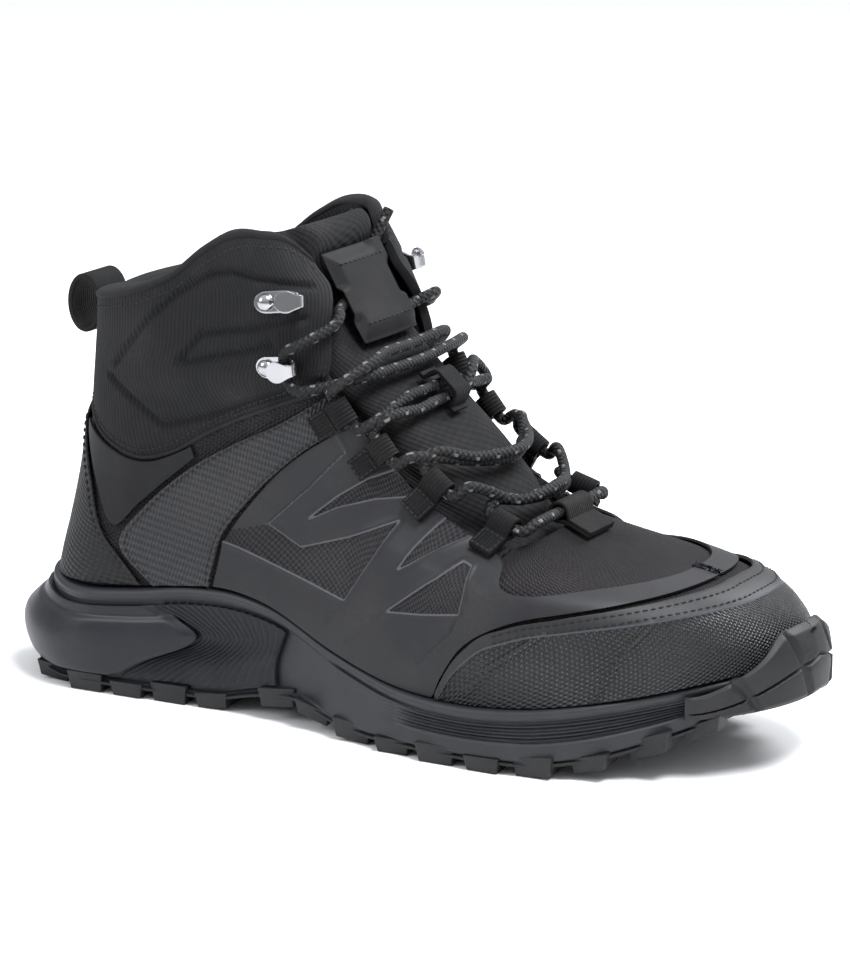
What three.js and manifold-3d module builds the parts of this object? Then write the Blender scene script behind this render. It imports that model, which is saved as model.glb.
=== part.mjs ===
// A mid-height hiking boot for the right foot, in millimetres: +X to the toe, -Y to the outer side,
// +Z up, standing on Z = 0. Every piece of the upper is laid out on one smooth skin, so that panels,
// overlays, padding and trim follow each other with small gaps.
import * as THREE from 'three'
import Module from 'manifold-3d'
import { mergeVertices } from 'three/addons/utils/BufferGeometryUtils.js'

const wasm = await Module()
wasm.setup()

// ---- driving dimensions ----
const SOLE_FRONT = 149
const SEAM_GAP = 0.4
const BASE_THICK = 3
const LINING_OUT = -3.6
const LINING_IN = -4.9
const OVERLAY_IN = 0.9
const OVERLAY_OUT = 1.9
const TOE_CAP_OUT = 2.2
const CUFF_OUT = 0.8
const COLLAR_PAD_IN = -9.5
const COLLAR_EDGE_IN = -5
const TREAD_DEPTH = 3
const OUTSOLE_TOP = 4.6
const FLOOR_DEPTH = 5.5
const BOARD_THICK = 2
const FOOTBED_THICK = 5
const BOARD_INSET = 6.4
const FOOTBED_INSET = 11
const SOLE_RECESS = 2.5
const LACE_RADIUS = 1.9
const WEBBING = 1.2
const SPLIT_Z = 131
const MIDDLE_X = 1.5
const MIDDLE_Y = -0.2
const OUTER = -1
const INNER = 1

// ---- curves and the skin ----

// A smooth curve through a few knots, held level beyond both ends.
function curve(knots) {
  const last = knots.length - 1
  const rise = (i) => (knots[i + 1][1] - knots[i][1]) / (knots[i + 1][0] - knots[i][0])
  const slope = knots.map((knot, i) => {
    if (i === 0) return rise(0)
    if (i === last) return rise(last - 1)
    const before = knot[0] - knots[i - 1][0]
    const after = knots[i + 1][0] - knot[0]
    return (rise(i - 1) * after + rise(i) * before) / (before + after)
  })
  return (value) => {
    const x = Math.min(Math.max(value, knots[0][0]), knots[last][0])
    let i = 0
    while (i < last - 1 && x > knots[i + 1][0]) i += 1
    const step = knots[i + 1][0] - knots[i][0]
    const t = (x - knots[i][0]) / step
    const u = 1 - t
    return (
      (1 + 2 * t) * u * u * knots[i][1] +
      t * u * u * step * slope[i] +
      t * t * (3 - 2 * t) * knots[i + 1][1] -
      t * t * u * step * slope[i + 1]
    )
  }
}

function smooth(from, to, value) {
  const t = Math.min(Math.max((value - from) / (to - from), 0), 1)
  return t * t * (3 - 2 * t)
}

const mix = (a, b, t) => a + (b - a) * t

// Where the upper's centre line runs in front and behind, by height.
const frontX = curve([
  [15, 139], [28, 143.5], [38, 144], [47, 141], [54, 134], [58, 125.5], [61, 113], [65, 93.5],
  [69, 77], [75, 63], [86, 48], [98, 33], [112, 16], [126, 2], [140, -8], [150, -14], [172, -26],
  [190, -33],
])
const backX = curve([[15, -132], [34, -134], [45, -132], [57, -129], [76, -124.5], [94, -121], [118, -116],
  [132, -115], [150, -117], [190, -121]])

// Half widths of the upper by length, outer and inner side, and how they change with height.
const outerWidth = curve([[-150, 32], [-120, 33.5], [-85, 33], [-50, 34], [-20, 39], [10, 46], [40, 51],
  [65, 52], [90, 50], [110, 47.5], [130, 45], [155, 44]])
const innerWidth = curve([[-150, 32], [-120, 33], [-85, 32.5], [-50, 32], [-20, 35], [10, 40.5], [40, 47],
  [65, 49.5], [90, 49], [110, 47.5], [130, 46], [155, 45]])
const shaftScale = curve([[15, 0.98], [30, 1.03], [42, 1.05], [55, 1], [75, 0.98], [95, 1.04], [115, 1.14],
  [135, 1.22], [155, 1.27], [190, 1.27]])
const foreScale = curve([[15, 0.97], [28, 1.03], [38, 1.04], [50, 0.99], [60, 0.94], [70, 0.88], [85, 0.8],
  [100, 0.78], [120, 0.84], [140, 0.92], [190, 1]])
const bend = curve([[-150, 0], [-60, 0], [0, 0], [60, 1], [100, 4], [155, 9]])

// How far back the rounded front and heel reach, and how square the front is, by height.
const frontRound = curve([[15, 70], [40, 76], [60, 70], [75, 60], [90, 52], [110, 42], [130, 36], [150, 32],
  [190, 30]])
const heelRound = curve([[15, 36], [60, 36], [100, 38], [140, 42], [190, 42]])
const frontPower = curve([[15, 2.3], [60, 2.2], [75, 2.1], [90, 2.3], [120, 2.9], [150, 3.4], [190, 3.4]])
const HEEL_POWER = 2.2

function rounding(distance, reach, power) {
  const left = Math.min(Math.max(1 - distance / reach, 0), 1)
  return Math.pow(1 - Math.pow(left, power), 1 / power)
}

function halfWidth(x, z, side) {
  const plan = side < 0 ? outerWidth(x) : innerWidth(x)
  const scale = mix(shaftScale(z), foreScale(z), smooth(-70, 50, x))
  return plan * scale * rounding(frontX(z) - x, frontRound(z), frontPower(z)) *
    rounding(x - backX(z), heelRound(z), HEEL_POWER)
}

// A point of the skin: s = 0 at the front centre line, below 0 on the outer side, 1 or -1 at the heel.
function skin(s, z) {
  const turn = ((s + 1) % 2 + 2) % 2 - 1
  const side = turn < 0 ? OUTER : INNER
  const x = (frontX(z) + backX(z)) / 2 + (frontX(z) - backX(z)) / 2 * Math.cos(Math.PI * turn)
  return new THREE.Vector3(x, bend(x) * (1 - smooth(40, 110, z)) + side * halfWidth(x, z, side), z)
}

function skinNormal(s, z) {
  const along = skin(s + 0.006, z).sub(skin(s - 0.006, z))
  const up = skin(s, z + 0.4).sub(skin(s, z - 0.4))
  return along.cross(up).normalize()
}

const onSkin = (s, z, out) => skin(s, z).addScaledVector(skinNormal(s, z), out)

// The share of the way round to the heel at which the skin has this x at this height.
function wayRound(x, z) {
  const share = (x - (frontX(z) + backX(z)) / 2) / ((frontX(z) - backX(z)) / 2)
  return Math.acos(Math.min(Math.max(share, -1), 1)) / Math.PI
}

// The way round at which the skin is this far from the middle, on the front half.
function wayAcross(y, z) {
  const side = y < 0 ? OUTER : INNER
  let near = 0
  let far = 0.45
  for (let i = 0; i < 24; i += 1) {
    const half = (near + far) / 2
    if (Math.abs(skin(side * half, z).y) < Math.abs(y)) near = half
    else far = half
  }
  return side * near
}

// ---- the sole's shape ----
const soleTop = curve([[-149, 39], [-140, 39], [-115, 37], [-90, 39], [-65, 42.5], [-50, 43], [-34, 41],
  [-3, 30], [24, 23], [45, 21.5], [70, 22.5], [100, 27], [128, 33], [145, 37], [155, 40]])
const soleRise = curve([[-150, 10], [-143, 5], [-132, 1.5], [-120, 0], [-56, 0], [-40, 4], [-20, 6], [-5, 2],
  [12, 0], [75, 0], [97, 4], [120, 12], [135, 19], [149, 27]])
const soleBottom = (x) => Math.max(soleRise(x), 0)
const outerSole = curve([[-150, 36], [-120, 39.5], [-90, 39], [-60, 37.5], [-30, 40], [0, 47], [30, 54],
  [60, 57], [90, 54], [115, 48], [155, 42]])
const innerSole = curve([[-150, 36], [-120, 38.5], [-90, 37], [-60, 34], [-30, 35], [0, 41], [30, 48.5],
  [60, 53.5], [90, 51], [115, 46], [155, 40]])
const heelEnd = curve([[0, -143], [0.15, -147], [0.4, -149], [0.7, -143.5], [1, -136.5]])

// A point on the sole's outline: t = 0 at the heel, 1 at the toe and below 0 on the inner side.
function soleOutline(t, height, inset) {
  const side = t < 0 ? INNER : OUTER
  const back = heelEnd(height)
  const share = (1 - Math.cos(Math.PI * Math.abs(t))) / 2
  const x = back + inset + (SOLE_FRONT - back - 2 * inset) * share
  const width = ((side < 0 ? outerSole(x) : innerSole(x)) - inset) *
    rounding(SOLE_FRONT - inset - x, 72, 2.2) * rounding(x - back - inset, 42, 2.2)
  return [x, bend(x) + side * width]
}

// The outline of the foot's hollow in the sole, this far inside the skin.
function lastOutline(t, inset) {
  const side = t < 0 ? INNER : OUTER
  const back = backX(38)
  const front = frontX(38)
  const share = (1 - Math.cos(Math.PI * Math.abs(t))) / 2
  const full = back + (front - back) * share
  const width = halfWidth(full, soleTop(full), side)
  const x = back + inset + (front - back - 2 * inset) * share
  return [x, bend(x) + side * width * (1 - inset / outerWidth(full))]
}

// ---- closed bodies ----
function closedGeometry(points, faces) {
  const geometry = new THREE.BufferGeometry()
  geometry.setFromPoints(points)
  geometry.setIndex(faces.flat())
  let volume = 0
  faces.forEach(([a, b, c]) => {
    volume += points[a].dot(points[b].clone().cross(points[c]))
  })
  if (volume < 0) geometry.setIndex(faces.flatMap(([a, b, c]) => [a, c, b]))
  return geometry
}

// A curved plate between two sheets of points with the same grid.
function plateBetween(innerPoint, outerPoint, columns, rows) {
  const points = []
  const faces = []
  for (const sheet of [innerPoint, outerPoint]) {
    for (let i = 0; i <= columns; i += 1) {
      for (let j = 0; j <= rows; j += 1) points.push(sheet(i / columns, j / rows))
    }
  }
  const outer = (columns + 1) * (rows + 1)
  const at = (i, j) => i * (rows + 1) + j
  const quad = (a, b, c, d) => faces.push([a, b, c], [a, c, d])
  for (let i = 0; i < columns; i += 1) {
    for (let j = 0; j < rows; j += 1) {
      quad(at(i, j), at(i, j + 1), at(i + 1, j + 1), at(i + 1, j))
      quad(outer + at(i, j), outer + at(i + 1, j), outer + at(i + 1, j + 1), outer + at(i, j + 1))
    }
    quad(at(i, 0), at(i + 1, 0), outer + at(i + 1, 0), outer + at(i, 0))
    quad(at(i, rows), outer + at(i, rows), outer + at(i + 1, rows), at(i + 1, rows))
  }
  for (let j = 0; j < rows; j += 1) {
    quad(at(0, j), outer + at(0, j), outer + at(0, j + 1), at(0, j + 1))
    quad(at(columns, j), at(columns, j + 1), outer + at(columns, j + 1), outer + at(columns, j))
  }
  return closedGeometry(points, faces)
}

// A plate on the skin: place(u, v) gives [s, z], and the offsets are numbers or functions of [s, z].
function skinPlate(place, columns, rows, inside, outside) {
  const depth = (offset, s, z) => (typeof offset === 'function' ? offset(s, z) : offset)
  const sheet = (offset) => (u, v) => {
    const [s, z] = place(u, v)
    return onSkin(s, z, depth(offset, s, z))
  }
  return plateBetween(sheet(inside), sheet(outside), columns, rows)
}

// A body made of closed rings, each holding the same number of points, closed by a cap at both ends.
function ringBody(rings) {
  const points = rings.flat()
  const count = rings[0].length
  const half = count / 2
  const faces = []
  const quad = (a, b, c, d) => faces.push([a, b, c], [a, c, d])
  for (let r = 0; r + 1 < rings.length; r += 1) {
    for (let i = 0; i < count; i += 1) {
      const next = (i + 1) % count
      quad(r * count + i, (r + 1) * count + i, (r + 1) * count + next, r * count + next)
    }
  }
  const cap = (start, flip) => {
    const face = (a, b, c) => faces.push(flip ? [a, c, b] : [a, b, c])
    const left = (i) => start + i
    const right = (i) => start + (count - i) % count
    face(left(0), left(1), right(1))
    for (let i = 1; i + 1 < half; i += 1) {
      face(left(i), left(i + 1), right(i + 1))
      face(left(i), right(i + 1), right(i))
    }
    face(left(half - 1), left(half), right(half - 1))
  }
  cap(0, false)
  cap((rings.length - 1) * count, true)
  return closedGeometry(points, faces)
}

// A ring of points round an outline, from the heel along the outer side to the toe and back.
function ring(outline, height, count) {
  const points = []
  for (let i = 0; i < count; i += 1) {
    const t = i <= count / 2 ? 2 * i / count : 2 * i / count - 2
    const [x, y] = outline(t)
    points.push(new THREE.Vector3(x, y, height(x)))
  }
  return points
}

function toSolid(geometry) {
  const bare = geometry.clone()
  bare.deleteAttribute('normal')
  bare.deleteAttribute('uv')
  const merged = mergeVertices(bare, 1e-5)
  return new wasm.Manifold(new wasm.Mesh({
    numProp: 3,
    vertProperties: new Float32Array(merged.attributes.position.array),
    triVerts: new Uint32Array(merged.index.array),
  }))
}

function fromSolid(solid) {
  const mesh = solid.getMesh()
  const geometry = new THREE.BufferGeometry()
  geometry.setAttribute('position', new THREE.Float32BufferAttribute(mesh.vertProperties, 3))
  geometry.setIndex([...mesh.triVerts])
  return geometry
}

// ---- materials ----
function material(color, roughness, metalness = 0) {
  return new THREE.MeshStandardMaterial({ color, roughness, metalness })
}

const looks = {
  rubber: material(0x17181b, 0.7),
  foam: material(0x1f2024, 0.75),
  clip: material(0x1d2026, 0.45),
  cloth: material(0x2b2a2d, 0.95),
  film: material(0x3a3a3d, 0.55),
  ribbed: material(0x2a2a2c, 0.9),
  woven: material(0x4a4a4c, 0.85),
  cap: material(0x232325, 0.6),
  lining: material(0x202022, 0.95),
  board: material(0x8c8577, 0.9),
  webbing: material(0x1c1c1e, 0.85),
  lace: material(0x19191b, 0.85),
  metal: material(0xc9c9c9, 0.2, 1),
}

const boot = new THREE.Group()

function add(name, geometry, look) {
  const mesh = new THREE.Mesh(geometry, look)
  mesh.name = name
  boot.add(mesh)
  return mesh
}

const sideName = (side) => (side < 0 ? 'outer' : 'inner')

// ---- edges of the upper, as [x, z] on either side ----

// A smooth path through side-view points, run from 0 to 1.
function path(points) {
  const xs = curve(points.map(([x], i) => [i / (points.length - 1), x]))
  const zs = curve(points.map(([, z], i) => [i / (points.length - 1), z]))
  return (t) => [xs(t), zs(t)]
}

// A line of heights by the way round, from side-view points.
function line(points) {
  return curve(points.map(([x, z]) => [wayRound(x, z), z]).sort((a, b) => a[0] - b[0]))
}

const collarTop = line([[-20, 158], [-25, 164.5], [-34, 169], [-43, 168.5], [-55, 162], [-69, 151.5],
  [-84, 145.5], [-97, 142], [-116, 137]])
const collarSeam = line([[-9, 119], [-24, 113.5], [-59, 98], [-75, 89], [-87, 86], [-100, 89.5], [-112, 98],
  [-119, 104]])
const toeCapTop = line([[119, 59.6], [111, 58], [97, 56], [82, 53.5], [66, 49.5], [54, 43], [46, 34],
  [40, 24]])

// Where the vamp meets the quarters, and where the throat's edge runs above it, by height.
const vampSeam = curve([[22, 33.5], [26, 35], [44, 42], [59, 50], [71, 57.5]])
const throatEdge = curve([[71, 57.5], [74, 45], [83, 28], [92, 17], [107, 3], [118, -8], [128, -9],
  [138, -11.5], [151, -16], [158, -20.2], [166, -24.4], [175, -29.3]])

// The height at which the upper meets the sole, by the way round.
function feather(s) {
  let z = 30
  for (let i = 0; i < 8; i += 1) z = soleTop(skin(s, z).x) + SEAM_GAP
  return z
}

// ---- sole pieces ----
const RING = 40

function lugSolid(x, y, length, width, skew) {
  const foot = 0.86
  const corners = [[-1, -1], [1, -1], [1, 1], [-1, 1]]
  const levels = [[foot, 0], [1, TREAD_DEPTH + 0.4]]
  const points = levels.flatMap(([grow, lift]) => corners.map(([a, b]) => {
    const px = x + grow * (a * length / 2 + b * skew * width / 2)
    return new THREE.Vector3(px, y + grow * b * width / 2, soleBottom(px) + lift)
  }))
  const faces = [[0, 2, 1], [0, 3, 2], [4, 5, 6], [4, 6, 7]]
  for (let i = 0; i < 4; i += 1) {
    const n = (i + 1) % 4
    faces.push([i, n, n + 4], [i, n + 4, i + 4])
  }
  return toSolid(closedGeometry(points, faces))
}

function outsole() {
  const base = ringBody([
    ring((t) => soleOutline(t, 0, 3.5), (x) => soleBottom(x) + TREAD_DEPTH, RING),
    ring((t) => soleOutline(t, 0.05, 0.6), (x) => soleBottom(x) + TREAD_DEPTH + 0.3, RING),
    ring((t) => soleOutline(t, 0.1, 0.2), (x) => soleBottom(x) + OUTSOLE_TOP, RING),
    ring((t) => soleOutline(t, 0.1, 3.5), (x) => soleBottom(x) + OUTSOLE_TOP, RING),
  ])
  let solid = toSolid(base)
  const edgeAt = (x, side) => {
    const width = (side < 0 ? outerSole(x) : innerSole(x)) *
      rounding(SOLE_FRONT - x, 72, 2.2) * rounding(x - heelEnd(0), 42, 2.2)
    return bend(x) + side * width
  }
  const edgeLugs = [-126, -109, -92, -75, -58, -30, -14, 4, 22, 40, 58, 76, 94, 111, 126]
  for (const side of [OUTER, INNER]) {
    for (const x of edgeLugs) {
      const width = x > 118 || x < -120 ? 13 : 16
      const y = edgeAt(x, side) - side * (width / 2 + 1.2)
      solid = solid.add(lugSolid(x, y, 11.5, width, side * 0.25))
    }
  }
  for (const x of [-133, -101, -84, -67, 13, 31, 49, 67, 85, 102, 118, 134]) {
    const across = x > 110 || x < -120 ? 9 : 14
    for (const side of [OUTER, INNER]) {
      const y = bend(x) + side * (across / 2 + 1)
      solid = solid.add(lugSolid(x, y, 8, across, -side * 0.5))
    }
  }
  return fromSolid(solid)
}

// The sole's side wall between the outsole and the rim: 0 at its foot, 1 at its head.
const wallOutline = (share) => mix(0.2, 0.85, share)
const wallHeight = (x, share) => mix(soleBottom(x) + OUTSOLE_TOP + 1.4, soleTop(x) - 4.4, share)

function midsole() {
  const recess = (x) => 0.2 + SOLE_RECESS * smooth(2, -18, x)
  const wall = (share) => ring((t) => {
    const height = wallOutline(share)
    return soleOutline(t, height, recess(soleOutline(t, height, 0)[0]))
  }, (x) => wallHeight(x, share), RING)
  const foot = (x) => soleBottom(x) + OUTSOLE_TOP + SEAM_GAP
  return ringBody([
    ring((t) => soleOutline(t, 0.1, 4), foot, RING),
    ring((t) => soleOutline(t, 0.12, 0.4), foot, RING),
    wall(0),
    wall(0.5),
    wall(1),
    ring((t) => soleOutline(t, 0.9, 0.2), (x) => soleTop(x) - 3.4, RING),
    ring((t) => soleOutline(t, 1, 0.8), soleTop, RING),
    ring((t) => lastOutline(t, 5.4), soleTop, RING),
    ring((t) => lastOutline(t, 5.8), (x) => soleTop(x) - FLOOR_DEPTH, RING),
  ])
}

// A layer of the foot's bed, from one lift above the hollow's floor to another.
function bedLayer(inset, from, to) {
  const floor = (lift) => (x) => soleTop(x) - FLOOR_DEPTH + lift
  return ringBody([
    ring((t) => lastOutline(t, inset), floor(from), RING),
    ring((t) => lastOutline(t, inset), floor(to), RING),
  ])
}

// The place on the sole wall, pushed out by some millimetres.
function wallPoint(t, share, out) {
  const [x, y] = soleOutline(t, wallOutline(share), -out)
  return new THREE.Vector3(x, y, wallHeight(x, share))
}

const CLIP_IN = -2
const CLIP_OUT = 0.5
const ARCH_OUT = -0.9
const WALL_MARGIN = 0.05
const clipFront = curve([[0, 0.277], [0.25, 0.31], [0.5, 0.352], [0.62, 0.358], [0.8, 0.335], [1, 0.3]])
const ARCH_FRONT = 0.435

const wallShare = (v) => mix(WALL_MARGIN, 1 - WALL_MARGIN, v)

function heelClip() {
  const sheet = (out) => (u, v) => wallPoint(mix(-1, 1, u) * clipFront(v), wallShare(v), out)
  return plateBetween(sheet(CLIP_IN), sheet(CLIP_OUT), 18, 4)
}

function archPanel(side) {
  const along = (u, v) => -side * mix(clipFront(v) + 0.005, ARCH_FRONT, u)
  const sheet = (out) => (u, v) => wallPoint(along(u, v), wallShare(v), out)
  return plateBetween(sheet(CLIP_IN), sheet(ARCH_OUT), 5, 4)
}

// The rubber bumper: from under the sole's edge up over the front of the toe cap.
function toeBumper() {
  const reach = 0.2
  const topAt = (t) => mix(47.5, soleTop(135) - 5, smooth(0.25, 1, Math.abs(t)))
  const sheet = (out) => (u, v) => {
    const across = mix(-1, 1, u)
    const t = (across > 0 ? -1 : 1) * (1 - reach * Math.abs(across))
    const low = soleBottom(145) + 1
    const z = mix(low - 4 * Math.abs(across), topAt(across), v)
    const edge = soleOutline(t, 1, 0)
    const s = wayAcross(edge[1] * 0.82, Math.max(z, 30))
    const cap = onSkin(s, Math.max(z, 30), 3.1)
    const climb = smooth(33, 44, z)
    const point = new THREE.Vector3(mix(edge[0], cap.x, climb), mix(edge[1], cap.y, climb), z)
    const away = new THREE.Vector3(point.x - 90, (point.y - bend(point.x)) * 1.4, 12 * climb).normalize()
    return point.addScaledVector(away, out)
  }
  return plateBetween(sheet(1.1), sheet(3.6), 12, 4)
}

// ---- upper pieces ----

// A plate across the front, from the sole up to a line of heights, as far round as a reach.
function frontPlate(reach, low, high, columns, rows, inside, outside) {
  return skinPlate((u, v) => {
    const s = mix(-reach, reach, u)
    return [s, mix(low(Math.abs(s)), high(Math.abs(s)), v)]
  }, columns, rows, inside, outside)
}

const VAMP_LOW = 26
const VAMP_SIDE = 70.6
const VAMP_MIDDLE = 74.5

// The vamp, or the lining behind it: over the toes, from seam to seam and up to the throat.
function vamp(inside, outside) {
  return skinPlate((u, v) => {
    const across = mix(-1, 1, u)
    const high = mix(VAMP_MIDDLE, VAMP_SIDE, across * across)
    let z = VAMP_LOW
    let s = 0
    for (let i = 0; i < 6; i += 1) {
      s = across * wayRound(vampSeam(z), z)
      z = mix(feather(s), high, v)
    }
    return [s, z]
  }, 18, 6, inside, outside)
}

const quarterLow = path([[34, 0], [30, 0], [24, 0], [17, 0], [8, 0], [-1, 0], [-12, 0], [-24, 0],
  [-38, 0], [-53, 0], [-68, 0], [-84, 0], [-100, 0], [-116, 0], [-134, 0]])
const quarterHigh = path([[56.8, 70.6], [44.5, 74], [36, 78.3], [27.5, 83], [17, 91.6], [9.5, 99.6],
  [-0.5, 110], [-8.5, 117.4], [-24, 112.8], [-42, 105.5], [-58, 97.6], [-74, 88.8], [-87, 85.4], [-101, 89],
  [-119.6, 103]])
const BACK_SEAM = 0.997

// A quarter, or the lining behind it: from the vamp seam back to the seam at the heel.
function quarter(side, inside, outside) {
  return skinPlate((u, v) => {
    const [lowX] = quarterLow(u)
    const [highX, highZ] = quarterHigh(u)
    const z = mix(soleTop(lowX) + SEAM_GAP + 0.2, highZ, v)
    const [firstLow] = quarterLow(0)
    const [firstHigh] = quarterHigh(0)
    const bow = (vampSeam(z) - 0.7 - mix(firstLow, firstHigh, v)) * Math.pow(1 - u, 4)
    return [side * Math.min(wayRound(mix(lowX, highX, v) + bow, z), BACK_SEAM), z]
  }, 24, 5, inside, outside)
}

// Overlays stop this far above the sole's rim.
const overRim = (x, z) => Math.max(z, soleTop(x) + 1)

const filmLow = path([[-56, 43.4], [-38, 40], [-20, 36.5], [-5, 31.1], [8, 27.2], [20, 24.4], [30, 22.8],
  [38, 22.3], [43, 30.5], [50, 40.5], [58, 46.5], [70, 51.8], [84, 54.8], [98, 57],
  [110, 58.9], [118, 60.4]])
const filmHigh = path([[-53, 60], [-45, 71], [-30, 87], [-13, 99.6], [1, 106], [11, 97], [21, 88], [32, 80],
  [44, 73.2], [53, 69.4], [58.5, 66], [62, 60.5], [72, 59], [90, 60.6], [104, 61.6], [112, 62.2]])

// The side-view outline of an opening in the film, as a solid that passes through one side only.
function opening(points, side) {
  const shape = new THREE.Shape(points.map(([x, z]) => new THREE.Vector2(x, z)))
  const block = new THREE.ExtrudeGeometry(shape, { depth: 60, bevelEnabled: false })
  block.rotateX(Math.PI / 2)
  block.translate(0, side < 0 ? -8 : 68, 0)
  return toSolid(block)
}

const filmOpenings = [
  [[-62, 62], [-46, 59.3], [-22, 54], [1.5, 49], [11, 63.5], [19.5, 77], [1, 69.5], [-19, 63], [-34, 69],
    [-17, 84], [-2, 98.5], [-8, 108], [-40, 92]],
  [[-16, 73.6], [-4, 83], [7, 90], [20, 95], [26, 86], [10, 84], [-4, 79.5]],
  [[23, 62.6], [29, 71.5], [36, 80.5], [43, 80], [46, 75], [38, 71], [29, 66]],
  [[20.5, 48.4], [34, 58.5], [46, 66.5], [49, 65.5], [49, 59], [48, 51.6], [34, 49.7]],
]

// The moulded film: a zigzag of broad strokes with cloth showing between them.
function film(side) {
  const whole = skinPlate((u, v) => {
    const [lowX, lowZ] = filmLow(u)
    const [highX, highZ] = filmHigh(u)
    const z = mix(overRim(lowX, lowZ), highZ, v)
    return [side * Math.max(wayRound(mix(lowX, highX, v), z), 0.004), z]
  }, 22, 4, OVERLAY_IN, OVERLAY_OUT)
  let solid = toSolid(whole)
  for (const points of filmOpenings) solid = solid.subtract(opening(points, side))
  return fromSolid(solid)
}

const bandLow = path([[-58, 43.2], [-56.5, 52], [-53.5, 62], [-45, 73], [-32, 86], [-15, 99.4], [0, 107.4]])
const bandHigh = path([[-80.5, 41.2], [-95, 54], [-84, 69.5], [-66, 84.5], [-47, 95.6], [-27, 105.4],
  [-9.5, 116]])

// The woven band that pulls the heel towards the laces.
function band(side) {
  return skinPlate((u, v) => {
    const [lowX, lowZ] = bandLow(u)
    const [highX, highZ] = bandHigh(u)
    const z = mix(overRim(lowX, lowZ), overRim(highX, highZ), v)
    return [side * wayRound(mix(lowX, highX, v), z), z]
  }, 12, 3, OVERLAY_IN, OVERLAY_OUT)
}

const coverLow = path([[-112.2, 90], [-107.3, 76], [-98.6, 60.4], [-88, 69.2], [-78, 77.7], [-70, 84],
  [-64, 88.8]])
const coverHigh = path([[-112.6, 95], [-108, 92], [-100, 88], [-91, 85], [-82, 85.2], [-73, 88.6],
  [-65, 92.6]])

// The smooth panel between the band, the heel cap and the collar.
function heelCover(side) {
  return skinPlate((u, v) => {
    const [lowX, lowZ] = coverLow(u)
    const [highX, highZ] = coverHigh(u)
    const z = mix(lowZ, highZ, v)
    return [side * wayRound(mix(lowX, highX, v), z), z]
  }, 8, 2, OVERLAY_IN, OVERLAY_OUT)
}

const heelCapEdge = curve([[38, -83], [47, -92.5], [55.5, -101.5], [73, -109], [90, -114.4], [104, -118]])

const HEEL_CAP_IN = 1.1

// The textured cap round the heel, below the collar.
function heelCap() {
  return skinPlate((u, v) => {
    const across = mix(-1, 1, u)
    const high = mix(101.8, 95, smooth(0.3, 1, Math.abs(across)))
    const z = mix(overRim(mix(-134, -84, Math.abs(across)), 38), high, v)
    return [1 - across * (1 - wayRound(heelCapEdge(z), z)), z]
  }, 18, 5, HEEL_CAP_IN, OVERLAY_OUT)
}

// A wrap round the back of the shaft, between two heights, from one collar front edge to the other.
function collarWrap(low, high, columns, rows, inside, outside) {
  return skinPlate((u, v) => {
    let z = 140
    let s = 1
    for (let i = 0; i < 8; i += 1) {
      const front = wayRound(throatEdge(z), z)
      s = mix(front, 2 - front, u)
      const way = s > 1 ? 2 - s : s
      z = mix(low(way), high(way), v)
    }
    return [s, z]
  }, columns, rows, inside, outside)
}

const padDepth = (s, z) => {
  const way = s > 1 ? 2 - s : s
  const front = wayRound(throatEdge(z), z)
  return mix(COLLAR_EDGE_IN, COLLAR_PAD_IN, smooth(0.09, 0.24, way - front))
}

// ---- tongue ----
const UNDER_LINING = -6

// How deep the tongue's face lies: under the lining beside the throat and where it starts,
// a little below the skin between the laces, and back behind the badge.
const tongueMiddle = curve([[70, -6], [77, -6], [85, -3.2], [124, -3], [131, -4], [138, -6], [160, -6],
  [166, -0.6], [173, -1]])

function tongueFace(s, z) {
  const across = Math.abs(s) / wayRound(throatEdge(z), z)
  return mix(tongueMiddle(z), UNDER_LINING, smooth(0.55, 0.98, across))
}

function tonguePlate(low, high, thick, columns, rows) {
  const place = (u, v) => {
    const across = mix(-1, 1, u)
    const z = mix(low(across), high, v)
    return [across * (wayRound(throatEdge(z), z) + 0.02), z]
  }
  return skinPlate(place, columns, rows, (s, z) => tongueFace(s, z) - thick(z), tongueFace)
}

const TONGUE_TOP = 173
const TONGUE_START = 71.5
const TONGUE_THICK = 3.9

function tongueUpper() {
  const thick = curve([[131, 4], [140, 4.5], [158, 4.5], [164, 9], [169, 9], [173, 5]])
  return tonguePlate((across) => SPLIT_Z + 4 * across * across, TONGUE_TOP, thick, 10, 7)
}

function tongueLower() {
  return tonguePlate(() => TONGUE_START, SPLIT_Z - SEAM_GAP, () => TONGUE_THICK, 10, 7)
}

const BADGE_HALF = 18.5

// The plain smooth badge on the tongue, held off it so that the lace ends pass behind.
function badge() {
  return skinPlate((u, v) => {
    const z = mix(132.5, 161.5, v)
    return [wayAcross(mix(-BADGE_HALF, BADGE_HALF, u), z), z]
  }, 6, 4, -1, 0)
}

// ---- webbing, hooks and laces ----

// A turned and placed frame on the skin: its X along the given direction, Z out of the skin.
function frameAt(s, z, out, towards) {
  const normal = skinNormal(s, z)
  const along = towards.clone().addScaledVector(normal, -towards.dot(normal)).normalize()
  const across = normal.clone().cross(along)
  const matrix = new THREE.Matrix4().makeBasis(along, across, normal)
  return matrix.setPosition(onSkin(s, z, out))
}

// A webbing loop: a flat double tail with a round eye at its end, the eye's axis along Y.
const EYE_OUT = 9.5
const EYE_LIFT = 2.4
const EYE_RADIUS = 2.7

function webbingLoop(width) {
  const outer = EYE_RADIUS + WEBBING
  const shape = new THREE.Shape()
  shape.moveTo(0, 0)
  shape.lineTo(5, 0)
  shape.absarc(EYE_OUT, EYE_LIFT, outer, -2.2, 2.6)
  shape.lineTo(4, 2 * WEBBING)
  shape.lineTo(0, 2 * WEBBING)
  const eye = new THREE.Path()
  eye.absarc(EYE_OUT, EYE_LIFT, EYE_RADIUS, 0, 2 * Math.PI, true)
  shape.holes.push(eye)
  const body = new THREE.ExtrudeGeometry(shape, { depth: width, bevelEnabled: false, curveSegments: 5 })
  body.rotateX(Math.PI / 2)
  body.translate(0, width / 2, 0)
  return body
}

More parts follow.
